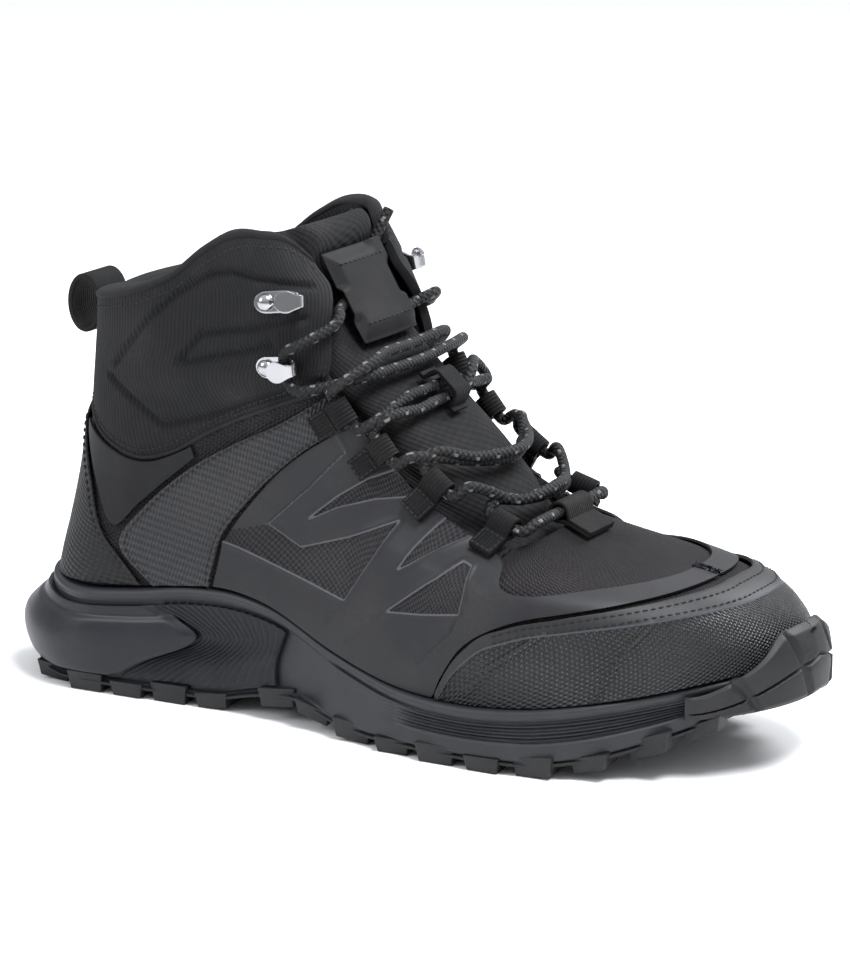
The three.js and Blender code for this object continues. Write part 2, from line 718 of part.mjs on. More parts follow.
// Where each side loop is sewn, and the way it points towards the throat.
const loopSeats = [
  { x: 50, z: 70.5, to: [2, 6, 4], width: 9 },
  { x: 25, z: 82.5, to: [4, 5, 5], width: 9 },
  { x: 5.5, z: 95, to: [6, 3.5, 5], width: 8 },
  { x: -9, z: 108, to: [7, 3.5, 5], width: 9 },
]

function loopFrame(seat, side) {
  const towards = new THREE.Vector3(seat.to[0], -side * seat.to[1], seat.to[2])
  return frameAt(side * wayRound(seat.x, seat.z), seat.z, OVERLAY_OUT + 0.5, towards)
}

// A lacing hook: a flat plate that turns over forward and comes back above itself.
const hookSeats = [{ x: -25, z: 126 }, { x: -25, z: 148 }]
const HOOK_WIDTH = 7
const HOOK_BEND_X = 4.5
const HOOK_MIDDLE = 3.6

function hookFrame(seat, side) {
  const forward = new THREE.Vector3(1, 0, 0.12)
  return frameAt(side * wayRound(seat.x, seat.z), seat.z, CUFF_OUT + 0.5, forward)
}

function hookPlate() {
  const inner = HOOK_MIDDLE - 1
  const shape = new THREE.Shape()
  shape.moveTo(-9, 0)
  shape.lineTo(HOOK_BEND_X, 0)
  shape.absarc(HOOK_BEND_X, HOOK_MIDDLE, HOOK_MIDDLE, -Math.PI / 2, Math.PI / 2)
  shape.lineTo(-1.5, 2 * HOOK_MIDDLE + 0.4)
  shape.lineTo(-1.5, 2 * HOOK_MIDDLE - 0.6)
  shape.lineTo(HOOK_BEND_X, HOOK_MIDDLE + inner)
  shape.absarc(HOOK_BEND_X, HOOK_MIDDLE, inner, Math.PI / 2, -Math.PI / 2, true)
  shape.lineTo(-9, 1)
  const body = new THREE.ExtrudeGeometry(shape, { depth: HOOK_WIDTH, bevelEnabled: false, curveSegments: 6 })
  body.rotateX(Math.PI / 2)
  body.translate(0, HOOK_WIDTH / 2, 0)
  return body
}

function rivet() {
  const profile = [[0, 1.3], [3, 1.3], [2.8, 2.2], [1.6, 3], [0, 3.3]]
  const head = new THREE.LatheGeometry(profile.map(([r, h]) => new THREE.Vector2(r, h)), 12)
  head.rotateX(Math.PI / 2)
  head.translate(-5, 0, 0)
  return head
}

// The strap at the foot of the throat, and the keeper on the middle of the tongue.
const THROAT_LOOP_WIDTH = 18

function throatFrame() {
  return frameAt(0, 71.6, 1.1, new THREE.Vector3(-1, 0, 0.4))
}

const KEEPER_Z = 113.8
const KEEPER_LIFT = 6.8
const KEEPER_HALF = 6.6
const KEEPER_WIDTH = 10

function keeperFrame() {
  return frameAt(0, KEEPER_Z, tongueMiddle(KEEPER_Z) + 1.4, new THREE.Vector3(-1, 0, 1))
}

function keeper() {
  const foot = 2.4
  const half = [
    [KEEPER_HALF + foot, 0], [KEEPER_HALF + foot, WEBBING], [KEEPER_HALF + 0.4, WEBBING],
    [KEEPER_HALF - 0.4, KEEPER_LIFT - 1], [KEEPER_HALF - 1.6, KEEPER_LIFT],
  ]
  const under = [
    [KEEPER_HALF - 2, KEEPER_LIFT - WEBBING], [KEEPER_HALF - 1.5, KEEPER_LIFT - 1.8], [KEEPER_HALF - 0.6, 0],
  ]
  const flip = (points) => points.map(([x, h]) => [-x, h]).reverse()
  const order = [...half, ...flip(half), ...flip(under), ...under]
  const shape = new THREE.Shape(order.map(([x, h]) => new THREE.Vector2(x, h)))
  const body = new THREE.ExtrudeGeometry(shape, { depth: KEEPER_WIDTH, bevelEnabled: false })
  body.rotateX(Math.PI / 2)
  body.translate(0, KEEPER_WIDTH / 2, 0)
  return body
}

// The finger loop behind the collar, hinged where it is sewn on.
const PULL_AXIS = [-117.6, 131.5]

function pullLoop() {
  const shape = new THREE.Shape()
  shape.absellipse(PULL_AXIS[0] - 7.6, PULL_AXIS[1] + 0.6, 7, 10.5, 0, 2 * Math.PI)
  const hole = new THREE.Path()
  hole.absellipse(PULL_AXIS[0] - 7.6, PULL_AXIS[1] + 0.6, 5.2, 8.7, 0, 2 * Math.PI, true)
  shape.holes.push(hole)
  const width = 18
  const body = new THREE.ExtrudeGeometry(shape, { depth: width, bevelEnabled: false, curveSegments: 14 })
  body.rotateX(Math.PI / 2)
  body.translate(0, width / 2, 0)
  return body
}

function cord(points, steps) {
  const section = new THREE.Shape()
  section.absarc(0, 0, LACE_RADIUS, 0, 2 * Math.PI)
  const route = new THREE.CatmullRomCurve3(points, false, 'centripetal')
  const options = { steps, curveSegments: 4, bevelEnabled: false, extrudePath: route }
  return new THREE.ExtrudeGeometry(section, options)
}

// ---- the lace's route ----
const onFront = (y, z, out) => onSkin(wayAcross(y, z), z, out)

// The way through a loop from below it to above it, turning in from the throat and out to it again.
function throughLoop(index, side, liftBelow = 0, liftAbove = 0) {
  const seat = loopSeats[index]
  const frame = loopFrame(seat, side)
  const mouth = seat.width / 2
  const points = [
    [6.5, -mouth - 3.8, liftBelow], [1, -mouth - 2.9, liftBelow / 3], [0, -mouth, 0],
    [0, mouth, 0], [1, mouth + 2.9, liftAbove / 3], [6.5, mouth + 3.8, liftAbove],
  ]
  return points.map(([x, y, z]) => {
    const point = new THREE.Vector3(EYE_OUT + x, -side * y, EYE_LIFT + z)
    return point.applyMatrix4(frame)
  })
}

// The way round a hook's neck, from its foot's side to its head's side.
function roundHook(side) {
  const frame = hookFrame(hookSeats[0], side)
  const points = [
    [10, -7.4, 4.8], [6.4, -6.8, 4], [4.2, -4.2, 3.6], [4.2, 4.2, 3.6], [6.4, 6.8, 4], [10, 8, 4.8],
  ]
  return points.map(([x, y, z]) => new THREE.Vector3(x, -side * y, z).applyMatrix4(frame))
}

function throughThroat() {
  const frame = throatFrame()
  const half = THROAT_LOOP_WIDTH / 2 + 1.5
  return [-half, 0, half].map((y) => new THREE.Vector3(EYE_OUT, y, EYE_LIFT).applyMatrix4(frame))
}

// From the inner side's cut at the badge to the outer side's, through every loop.
function laceRoute() {
  const down = (points) => [...points].reverse()
  return [
    onFront(26.8, 138.2, 0.2),
    onFront(30, 137.8, 6.2),
    onFront(33.4, 136, 5.6),
    ...down(roundHook(INNER)),
    onFront(24, 126.8, 3.8),
    onFront(0, 127.8, 1.8),
    onFront(-20, 127.2, 4),
    onFront(-29, 124.4, 8),
    ...down(throughLoop(3, OUTER, -1, 2)),
    onFront(-21, 114.4, 2),
    onFront(-10, 115.2, 1.2),
    onFront(10, 115, 1.2),
    onFront(17, 112.8, 1.4),
    onFront(24, 110.6, 2.4),
    ...down(throughLoop(2, INNER, 0, -1.5)),
    onFront(18, 94, 4.4),
    onFront(0, 92.5, 5.8),
    onFront(-18, 94, 4.6),
    ...down(throughLoop(1, OUTER)),
    onFront(-17, 82, 2.8),
    onFront(0, 81.4, 1.4),
    onFront(16, 80.6, 3),
    ...down(throughLoop(0, INNER)),
    ...throughThroat(),
    ...throughLoop(0, OUTER),
    onFront(-16, 80.6, 5),
    onFront(0, 81.4, 6),
    onFront(17, 82, 4.6),
    ...throughLoop(1, INNER),
    onFront(18, 94, 2.4),
    onFront(0, 92.5, 1.3),
    onFront(-18, 94, 2.4),
    ...throughLoop(2, OUTER, 0, -1),
    onFront(-20, 110.4, 2),
    onFront(-10, 111.6, 1.2),
    onFront(9, 111.8, 1.3),
    onFront(16, 114.2, 5.6),
    onFront(24, 115.6, 6),
    ...throughLoop(3, INNER, 2, 0),
    onFront(24, 122.4, 3.4),
    onFront(0, 123, 1.4),
    onFront(-22, 122.6, 2),
    onFront(-31, 121.4, 4.4),
    ...roundHook(OUTER),
    onFront(-33, 138.5, 5),
    onFront(-29.6, 141, 3.6),
    onFront(-26.4, 142.4, 0.2),
  ]
}

// The two ends, behind the badge and past it, cut from the rest where the tongue starts to move.
const outerEnd = () => [
  onFront(-25.9, 142.6, -0.4),
  onFront(-22, 144, -3.2),
  onFront(-12, 147.4, -3.6),
  onFront(2, 151.4, -3.6),
  onFront(14, 156.6, -3.8),
  onFront(19.6, 160.6, -3.4),
  onFront(22.2, 163.8, 0.4),
  onFront(24.4, 167.2, 4.6),
]
const innerEnd = () => [
  onFront(26.3, 138.3, -0.4),
  onFront(22, 138.6, -3.2),
  onFront(12, 139.4, -3.6),
  onFront(0, 140.4, -3.6),
  onFront(-8, 140.8, -3.6),
]

// ---- building ----
function buildSole() {
  add('outsole', outsole(), looks.rubber)
  add('midsole', midsole(), looks.foam)
  add('heel_clip', heelClip(), looks.clip)
  add('toe_bumper', toeBumper(), looks.rubber)
  add('arch_panel_outer', archPanel(OUTER), looks.foam)
  add('arch_panel_inner', archPanel(INNER), looks.foam)
  add('lasting_board', bedLayer(BOARD_INSET, 0.3, BOARD_THICK), looks.board)
  add('footbed', bedLayer(FOOTBED_INSET, BOARD_THICK + 0.3, BOARD_THICK + FOOTBED_THICK), looks.lining)
}

const COLLAR_STEPS = 28

function buildUpper() {
  add('vamp', vamp(-BASE_THICK, 0), looks.cloth)
  add('lining_vamp', vamp(LINING_IN, LINING_OUT), looks.lining)
  const capLow = (way) => feather(way) + 0.6
  const capHigh = (way) => toeCapTop(way) - 0.5
  const capPlate = frontPlate(wayRound(41, 26), capLow, capHigh, 22, 3, TOE_CAP_OUT - 0.9, TOE_CAP_OUT)
  add('toe_cap', capPlate, looks.cap)
  for (const side of [OUTER, INNER]) {
    add(`quarter_${sideName(side)}`, quarter(side, -BASE_THICK, 0), looks.cloth)
    add(`lining_quarter_${sideName(side)}`, quarter(side, LINING_IN, LINING_OUT), looks.lining)
    add(`film_${sideName(side)}`, film(side), looks.film)
    add(`midfoot_band_${sideName(side)}`, band(side), looks.woven)
    add(`heel_cover_${sideName(side)}`, heelCover(side), looks.film)
  }
  add('heel_cap', heelCap(), looks.cap)
  const cuffLow = (way) => collarSeam(way) + 0.3
  add('cuff', collarWrap(cuffLow, collarTop, COLLAR_STEPS, 4, -BASE_THICK, CUFF_OUT), looks.ribbed)
  const padHigh = (way) => collarTop(way) - 0.2
  add('collar_padding', collarWrap(cuffLow, padHigh, COLLAR_STEPS, 4, padDepth, LINING_OUT), looks.lining)
  const bindingLow = (way) => collarTop(way) + 0.3
  const bindingHigh = (way) => collarTop(way) + 2.3
  const bindingIn = (s, z) => padDepth(s, z) + 1.5
  add('collar_binding', collarWrap(bindingLow, bindingHigh, COLLAR_STEPS, 1, bindingIn, 0.2), looks.ribbed)
  add('tongue_lower', tongueLower(), looks.cloth)
  add('tongue_upper', tongueUpper(), looks.lining)
  add('tongue_badge', badge(), looks.film)
}

function buildTrim() {
  for (const side of [OUTER, INNER]) {
    loopSeats.forEach((seat, i) => {
      const loop = add(`lace_loop_${sideName(side)}_${i + 1}`, webbingLoop(seat.width), looks.webbing)
      loop.applyMatrix4(loopFrame(seat, side))
    })
    hookSeats.forEach((seat, i) => {
      const hook = add(`hook_${sideName(side)}_${i + 1}`, hookPlate(), looks.metal)
      hook.applyMatrix4(hookFrame(seat, side))
      const head = add(`rivet_${sideName(side)}_${i + 1}`, rivet(), looks.metal)
      head.applyMatrix4(hookFrame(seat, side))
    })
  }
  const strap = add('throat_loop', webbingLoop(THROAT_LOOP_WIDTH), looks.webbing)
  strap.applyMatrix4(throatFrame())
  add('lace_keeper', keeper(), looks.webbing).applyMatrix4(keeperFrame())
  add('pull_loop', pullLoop(), looks.webbing)
  add('lace', cord(laceRoute(), 180), looks.lace)
  add('lace_end_outer', cord(outerEnd(), 14), looks.lace)
  add('lace_end_inner', cord(innerEnd(), 8), looks.lace)
}

buildSole()
buildUpper()
buildTrim()

// The origin lies under the middle of the whole boot.
boot.position.set(-MIDDLE_X, -MIDDLE_Y, 0)

export default boot
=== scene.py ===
import math

import bpy
import numpy as np
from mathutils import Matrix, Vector


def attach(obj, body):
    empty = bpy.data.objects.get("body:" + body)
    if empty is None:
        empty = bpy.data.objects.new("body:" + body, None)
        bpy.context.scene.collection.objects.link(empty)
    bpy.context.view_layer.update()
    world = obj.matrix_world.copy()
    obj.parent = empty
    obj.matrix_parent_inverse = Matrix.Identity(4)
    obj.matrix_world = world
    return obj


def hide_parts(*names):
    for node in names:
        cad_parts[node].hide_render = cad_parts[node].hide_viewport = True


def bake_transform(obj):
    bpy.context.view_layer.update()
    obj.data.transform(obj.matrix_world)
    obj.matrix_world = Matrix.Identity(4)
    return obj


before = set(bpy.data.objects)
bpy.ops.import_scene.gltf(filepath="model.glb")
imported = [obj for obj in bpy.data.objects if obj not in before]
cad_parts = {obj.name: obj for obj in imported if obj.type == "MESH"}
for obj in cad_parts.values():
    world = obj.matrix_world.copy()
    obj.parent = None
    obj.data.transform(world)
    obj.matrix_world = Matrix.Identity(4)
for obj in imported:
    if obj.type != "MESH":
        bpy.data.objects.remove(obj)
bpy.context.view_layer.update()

# A mid-height hiking boot for the right foot. Shapes are worked out in millimetres on one smooth skin,
# with +X to the toe, -Y to the outer side and +Z up, and laid into the frame in metres.

MM = 0.001
scene = bpy.context.scene
camera_data = bpy.data.cameras.new("camera")
camera_data.lens = 161.4
camera_data.sensor_width = 36
camera = bpy.data.objects.new("camera", camera_data)
scene.collection.objects.link(camera)
camera.location = (0.7117, -1.2739, 0.4364)
AIM = Vector((0.0055, 0.0002, 0.0786))
camera.rotation_euler = (AIM - camera.location).to_track_quat("-Z", "Y").to_euler()
scene.camera = camera
scene.view_settings.view_transform = "Standard"


# ---- floor and light ----
def flat_look(name, color, rough):
    look = bpy.data.materials.new(name)
    look.use_nodes = True
    shader = look.node_tree.nodes["Principled BSDF"]
    shader.inputs["Base Color"].default_value = (*color, 1)
    shader.inputs["Roughness"].default_value = rough
    return look


def add_light(name, place, size, power):
    data = bpy.data.lights.new(name, "AREA")
    data.shape = "DISK"
    data.size = size
    data.energy = power
    data.color = (0.95, 0.97, 1)
    light = bpy.data.objects.new(name, data)
    light.location = place
    light.rotation_euler = (AIM - light.location).to_track_quat("-Z", "Y").to_euler()
    scene.collection.objects.link(light)


def add_floor():
    bpy.ops.mesh.primitive_plane_add(size=40)
    floor = bpy.context.object
    floor.name = "floor"
    floor.data.materials.append(flat_look("floor", (0.9, 0.9, 0.9), 0.8))


def add_sky():
    """A world that is dim at the horizon and bright above."""
    world = bpy.data.worlds.new("world")
    scene.world = world
    world.use_nodes = True
    sky = world.node_tree
    background = sky.nodes["Background"]
    upward = sky.nodes.new("ShaderNodeSeparateXYZ")
    sky.links.new(sky.nodes.new("ShaderNodeTexCoord").outputs["Generated"], upward.inputs[0])
    fade = sky.nodes.new("ShaderNodeMapRange")
    for label, value in (("From Min", 0.0), ("From Max", 0.8), ("To Min", 0.3), ("To Max", 1.1)):
        fade.inputs[label].default_value = value
    sky.links.new(upward.outputs["Z"], fade.inputs["Value"])
    sky.links.new(fade.outputs[0], background.inputs["Strength"])
    background.inputs["Color"].default_value = (0.94, 0.96, 1, 1)


add_floor()
add_sky()
add_light("key", (0.6, -0.3, 1.3), 0.6, 26)
add_light("fill", (-0.9, -1.1, 0.8), 0.7, 9)
add_light("rim", (0.4, 1.0, 1.0), 0.6, 16)


def set_cad_look(node_name, look):
    """Gives a CAD node that stays in view its procedural material."""
    for slot in bpy.data.objects[node_name].material_slots:
        slot.link = "OBJECT"
        slot.material = look


# The middle of the boot's box, in its own millimetres: the frame's origin lies under it.
MIDDLE = np.array([1.5, -0.2, 0.0])
OUTER, INNER = -1, 1
SIDES = {"outer": OUTER, "inner": INNER}


# ---- curves and the skin ----
def curve(knots):
    """A smooth curve through a few knots, held level beyond both ends."""
    xs, ys = np.array(knots, float).T
    steps = np.diff(xs)
    rise = np.diff(ys) / steps
    slope = np.concatenate([rise[:1], np.zeros(len(xs) - 2), rise[-1:]])
    slope[1:-1] = (rise[:-1] * steps[1:] + rise[1:] * steps[:-1]) / (steps[:-1] + steps[1:])

    def value(x):
        x = np.clip(x, xs[0], xs[-1])
        i = np.clip(np.searchsorted(xs, x, side="right") - 1, 0, len(xs) - 2)
        h = xs[i + 1] - xs[i]
        t = (x - xs[i]) / h
        u = 1 - t
        ends = (1 + 2 * t) * u * u * ys[i] + t * t * (3 - 2 * t) * ys[i + 1]
        return ends + t * u * u * h * slope[i] - t * t * u * h * slope[i + 1]

    return value


def smooth(low, high, value):
    t = np.clip((value - low) / (high - low), 0, 1)
    return t * t * (3 - 2 * t)


def mix(a, b, t):
    return a + (b - a) * t


# Curves of the skin: front_x and back_x by height, the widths by x, and scales and roundings by height.
front_x = curve([[15, 139], [28, 143.5], [38, 144], [47, 141], [54, 134], [58, 125.5], [61, 113], [65, 93.5],
                 [69, 77], [75, 63], [86, 48], [98, 33], [112, 16], [126, 2], [140, -8], [150, -14],
                 [172, -26], [190, -33]])
back_x = curve([[15, -132], [34, -134], [45, -132], [57, -129], [76, -124.5], [94, -121], [118, -116],
                [132, -115], [150, -117], [190, -121]])
outer_width = curve([[-150, 32], [-120, 33.5], [-85, 33], [-50, 34], [-20, 39], [10, 46], [40, 51], [65, 52],
                     [90, 50], [110, 47.5], [130, 45], [155, 44]])
inner_width = curve([[-150, 32], [-120, 33], [-85, 32.5], [-50, 32], [-20, 35], [10, 40.5], [40, 47],
                     [65, 49.5], [90, 49], [110, 47.5], [130, 46], [155, 45]])
shaft_scale = curve([[15, 0.98], [30, 1.03], [42, 1.05], [55, 1], [75, 0.98], [95, 1.04], [115, 1.14],
                     [135, 1.22], [155, 1.27], [190, 1.27]])
fore_scale = curve([[15, 0.97], [28, 1.03], [38, 1.04], [50, 0.99], [60, 0.94], [70, 0.88], [85, 0.8],
                    [100, 0.78], [120, 0.84], [140, 0.92], [190, 1]])
bend = curve([[-150, 0], [-60, 0], [0, 0], [60, 1], [100, 4], [155, 9]])
front_round = curve([[15, 70], [40, 76], [60, 70], [75, 60], [90, 52], [110, 42], [130, 36], [150, 32],
                     [190, 30]])
heel_round = curve([[15, 36], [60, 36], [100, 38], [140, 42], [190, 42]])
front_power = curve([[15, 2.3], [60, 2.2], [75, 2.1], [90, 2.3], [120, 2.9], [150, 3.4], [190, 3.4]])
HEEL_POWER = 2.2


def rounding(distance, reach, power):
    left = np.clip(1 - distance / reach, 0, 1)
    return np.power(1 - np.power(left, power), 1 / power)


def half_width(x, z, side):
    plan = np.where(side < 0, outer_width(x), inner_width(x))
    scale = mix(shaft_scale(z), fore_scale(z), smooth(-70, 50, x))
    front = rounding(front_x(z) - x, front_round(z), front_power(z))
    return plan * scale * front * rounding(x - back_x(z), heel_round(z), HEEL_POWER)


def skin(s, z):
    """Points of the skin: s is 0 at the front centre line, below 0 on the outer side, 1 or -1 at the heel."""
    s, z = np.broadcast_arrays(np.asarray(s, float), np.asarray(z, float))
    turn = (s + 1) % 2 - 1
    side = np.where(turn < 0, OUTER, INNER)
    x = (front_x(z) + back_x(z)) / 2 + (front_x(z) - back_x(z)) / 2 * np.cos(np.pi * turn)
    y = bend(x) * (1 - smooth(40, 110, z)) + side * half_width(x, z, side)
    return np.stack([x, y, z], -1)


def skin_normal(s, z):
    along = skin(s + 0.006, z) - skin(s - 0.006, z)
    up = skin(s, z + 0.4) - skin(s, z - 0.4)
    normal = np.cross(along, up)
    return normal / np.linalg.norm(normal, axis=-1, keepdims=True)


def on_skin(s, z, out):
    return skin(s, z) + skin_normal(s, z) * np.asarray(out)[..., None]


def way_round(x, z):
    share = (x - (front_x(z) + back_x(z)) / 2) / ((front_x(z) - back_x(z)) / 2)
    return np.arccos(np.clip(share, -1, 1)) / np.pi


def way_across(y, z):
    """The way round at which the skin is this far from the middle, on the front half."""
    side = np.where(y < 0, OUTER, INNER)
    near, far = np.zeros(np.shape(y)), np.full(np.shape(y), 0.45)
    for _ in range(24):
        half = (near + far) / 2
        short = np.abs(skin(side * half, z)[..., 1]) < np.abs(y)
        near, far = np.where(short, half, near), np.where(short, far, half)
    return side * near


def on_front(y, z, out):
    return on_skin(way_across(np.float64(y), z), z, out)


def path(points):
    """A smooth path through side-view points, run from 0 to 1."""
    share = np.linspace(0, 1, len(points))
    xs = curve([[t, p[0]] for t, p in zip(share, points)])
    zs = curve([[t, p[1]] for t, p in zip(share, points)])
    return lambda t: (xs(t), zs(t))


def line(points):
    """A line of heights by the way round, from side-view points."""
    return curve(sorted([float(way_round(x, z)), z] for x, z in points))


collar_top = line([[-20, 158], [-25, 164.5], [-34, 169], [-43, 168.5], [-55, 162], [-69, 151.5], [-84, 145.5],
                   [-97, 142], [-116, 137]])
collar_seam = line([[-9, 119], [-24, 113.5], [-59, 98], [-75, 89], [-87, 86], [-100, 89.5], [-112, 98],
                    [-119, 104]])
toe_cap_top = line([[119, 59.6], [111, 58], [97, 56], [82, 53.5], [66, 49.5], [54, 43], [46, 34], [40, 24]])
vamp_seam = curve([[22, 33.5], [26, 35], [44, 42], [59, 50], [71, 57.5]])
throat_edge = curve([[71, 57.5], [74, 45], [83, 28], [92, 17], [107, 3], [118, -8], [128, -9], [138, -11.5],
                     [151, -16], [158, -20.2], [166, -24.4], [175, -29.3]])

# ---- the sole's lines ----
SOLE_FRONT = 149
TREAD_DEPTH = 3
OUTSOLE_TOP = 4.6
FLOOR_DEPTH = 5.5
SEAM_GAP = 0.4
FEATHER_GUESS = 30
TOE_ROUND, HEEL_ROUND = (72, 2.2), (42, 2.2)
LAST_Z = 38
sole_top = curve([[-149, 39], [-140, 39], [-115, 37], [-90, 39], [-65, 42.5], [-50, 43], [-34, 41], [-3, 30],
                  [24, 23], [45, 21.5], [70, 22.5], [100, 27], [128, 33], [145, 37], [155, 40]])
sole_rise = curve([[-150, 10], [-143, 5], [-132, 1.5], [-120, 0], [-56, 0], [-40, 4], [-20, 6], [-5, 2],
                   [12, 0], [75, 0], [97, 4], [120, 12], [135, 19], [149, 27]])
outer_sole = curve([[-150, 36], [-120, 39.5], [-90, 39], [-60, 37.5], [-30, 40], [0, 47], [30, 54], [60, 57],
                    [90, 54], [115, 48], [155, 42]])
inner_sole = curve([[-150, 36], [-120, 38.5], [-90, 37], [-60, 34], [-30, 35], [0, 41], [30, 48.5],
                    [60, 53.5], [90, 51], [115, 46], [155, 40]])
heel_end = curve([[0, -143], [0.15, -147], [0.4, -149], [0.7, -143.5], [1, -136.5]])


def sole_bottom(x):
    return np.maximum(sole_rise(x), 0)


def feather(s):
    """The height at which the upper meets the sole, by the way round."""
    z = FEATHER_GUESS + 0 * s
    for _ in range(8):
        z = sole_top(skin(s, z)[..., 0]) + SEAM_GAP
    return z


def sole_outline(t, height, inset):
    """The sole's outline: t is 0 at the heel, 1 at the toe and below 0 on the inner side."""
    side = np.where(t < 0, INNER, OUTER)
    back = heel_end(height)
    share = (1 - np.cos(np.pi * np.abs(t))) / 2
    x = back + inset + (SOLE_FRONT - back - 2 * inset) * share
    width = np.where(side < 0, outer_sole(x), inner_sole(x)) - inset
    width = width * rounding(SOLE_FRONT - inset - x, *TOE_ROUND) * rounding(x - back - inset, *HEEL_ROUND)
    return x, bend(x) + side * width


def last_outline(t, inset):
    """The outline of the foot's hollow in the sole, this far inside the skin."""
    side = np.where(t < 0, INNER, OUTER)
    back, front = back_x(LAST_Z), front_x(LAST_Z)
    share = (1 - np.cos(np.pi * np.abs(t))) / 2
    full = back + (front - back) * share
    width = half_width(full, sole_top(full), side)
    x = back + inset + (front - back - 2 * inset) * share
    return x, bend(x) + side * width * (1 - inset / outer_width(full))


# ---- making pieces ----
def deselect():
    bpy.ops.object.select_all(action="DESELECT")


def activate(piece):
    deselect()
    piece.select_set(True)
    bpy.context.view_layer.objects.active = piece


def coordinates(piece):
    flat = np.empty(len(piece.data.vertices) * 3)
    piece.data.vertices.foreach_get("co", flat)
    return flat.reshape(-1, 3)


def lay(piece, points):
    """Puts a piece's vertices at these points, given in millimetres."""
    piece.data.vertices.foreach_set("co", ((points - MIDDLE) * MM).ravel())
    piece.data.update()


def grid(name, columns, rows):
    """A flat primitive grid, with each vertex's share of the way along both of its sides."""
    deselect()
    bpy.ops.mesh.primitive_grid_add(x_subdivisions=columns, y_subdivisions=rows, size=2)
    piece = bpy.context.object
    piece.name = name
    piece.data.name = name
    flat = coordinates(piece)
    return piece, flat[:, 0] / 2 + 0.5, flat[:, 1] / 2 + 0.5


def size_uv(piece, width, height):
    """Gives the piece's own UV map its real size, in metres. The height may change along the width."""
    layer = piece.data.uv_layers[0]
    uv = np.empty(len(layer.data) * 2)
    layer.data.foreach_get("uv", uv)
    uv = uv.reshape(-1, 2)
    heights = np.atleast_1d(height)
    tall = np.interp(uv[:, 0], np.linspace(0, 1, len(heights)), heights)
    sized = np.stack([uv[:, 0] * width, (uv[:, 1] - 0.5) * tall], -1) * MM
    layer.data.foreach_set("uv", sized.ravel())


def side_uv(piece):
    """Lays the piece's UV map in its side view, in metres."""
    corners = np.empty(len(piece.data.loops), int)
    piece.data.loops.foreach_get("vertex_index", corners)
    piece.data.uv_layers[0].data.foreach_set("uv", coordinates(piece)[corners][:, [0, 2]].ravel())


def mark(piece, name, values):
    """Stores a number for each vertex, which the piece's material reads."""
    attribute = piece.data.attributes.new(name, "FLOAT", "POINT")
    attribute.data.foreach_set("value", np.asarray(values, np.float32))


def face_along(piece, outward):
    """Turns a sheet's faces towards the given directions, one for each vertex."""
    mesh = piece.data
    normals = np.empty(len(mesh.polygons) * 3)
    mesh.polygons.foreach_get("normal", normals)
    starts = np.empty(len(mesh.polygons), int)
    mesh.polygons.foreach_get("loop_start", starts)
    corners = np.empty(len(mesh.loops), int)
    mesh.loops.foreach_get("vertex_index", corners)
    if (normals.reshape(-1, 3) * outward[corners[starts]]).sum() < 0:
        mesh.flip_normals()


def apply_modifiers(piece):
    activate(piece)
    for modifier in list(piece.modifiers):
        bpy.ops.object.modifier_apply(modifier=modifier.name)


def thicken(piece, thickness, edge=0.3, offset=-1):
    """Gives a sheet its thickness and rounded edges."""
    solid = piece.modifiers.new("thickness", "SOLIDIFY")
    solid.thickness = thickness * MM
    solid.offset = offset
    if edge:
        bevel = piece.modifiers.new("edge", "BEVEL")
        bevel.width = edge * MM
        bevel.segments = 2
        bevel.limit_method = "ANGLE"
        bevel.angle_limit = math.radians(55)
    apply_modifiers(piece)


def smooth_faces(piece, angle=40):
    activate(piece)
    bpy.ops.object.shade_smooth_by_angle(angle=math.radians(angle))


def edit_mesh(piece, *steps):
    """Runs steps on all of a piece's mesh."""
    activate(piece)
    bpy.ops.object.mode_set(mode="EDIT")
    bpy.ops.mesh.select_all(action="SELECT")
    for step in steps:
        step()
    bpy.ops.object.mode_set(mode="OBJECT")


def join_seam():
    bpy.ops.mesh.remove_doubles(threshold=0.02 * MM)


def close_ends():
    bpy.ops.mesh.select_all(action="DESELECT")
    bpy.ops.mesh.select_non_manifold(extend=False)
    bpy.ops.mesh.edge_face_add()
    bpy.ops.mesh.select_all(action="SELECT")


def turn_out():
    bpy.ops.mesh.normals_make_consistent(inside=False)


def weld(piece):
    """Joins the seam of a sheet that closes on itself, and turns its faces out."""
    edit_mesh(piece, join_seam, turn_out)


def dress(piece, look, body="boot", stands_for=()):
    """Gives a finished piece its material, its body and the nodes that it stands for."""
    piece.data.materials.clear()
    piece.data.materials.append(look)
    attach(piece, body)
    if stands_for:
        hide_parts(*stands_for)
    return piece


MEASURES = 41


def panel(name, place, columns, rows, out, thickness, marks=None, edge=0.3):
    """A panel on the skin: place(u, v) gives its way round and height, and out its height off the skin."""
    piece, u, v = grid(name, columns, rows)
    s, z = place(u, v)
    base = skin(s, z)
    rise = out(base, u, v) if callable(out) else out + 0 * u
    lay(piece, on_skin(s, z, rise))
    face_along(piece, skin_normal(s, z))
    share = np.linspace(0, 1, MEASURES)
    across, along = np.meshgrid(share, share, indexing="ij")
    mesh = skin(*place(across.ravel(), along.ravel())).reshape(MEASURES, MEASURES, 3)
    heights = np.linalg.norm(np.diff(mesh, axis=1), axis=2).sum(1)
    size_uv(piece, np.linalg.norm(np.diff(mesh[:, MEASURES // 2], axis=0), axis=1).sum(), heights)
    for key, values in (marks(base, u, v) if marks else {}).items():
        mark(piece, key, values)
    if thickness:
        thicken(piece, thickness, edge)
    smooth_faces(piece)
    return piece


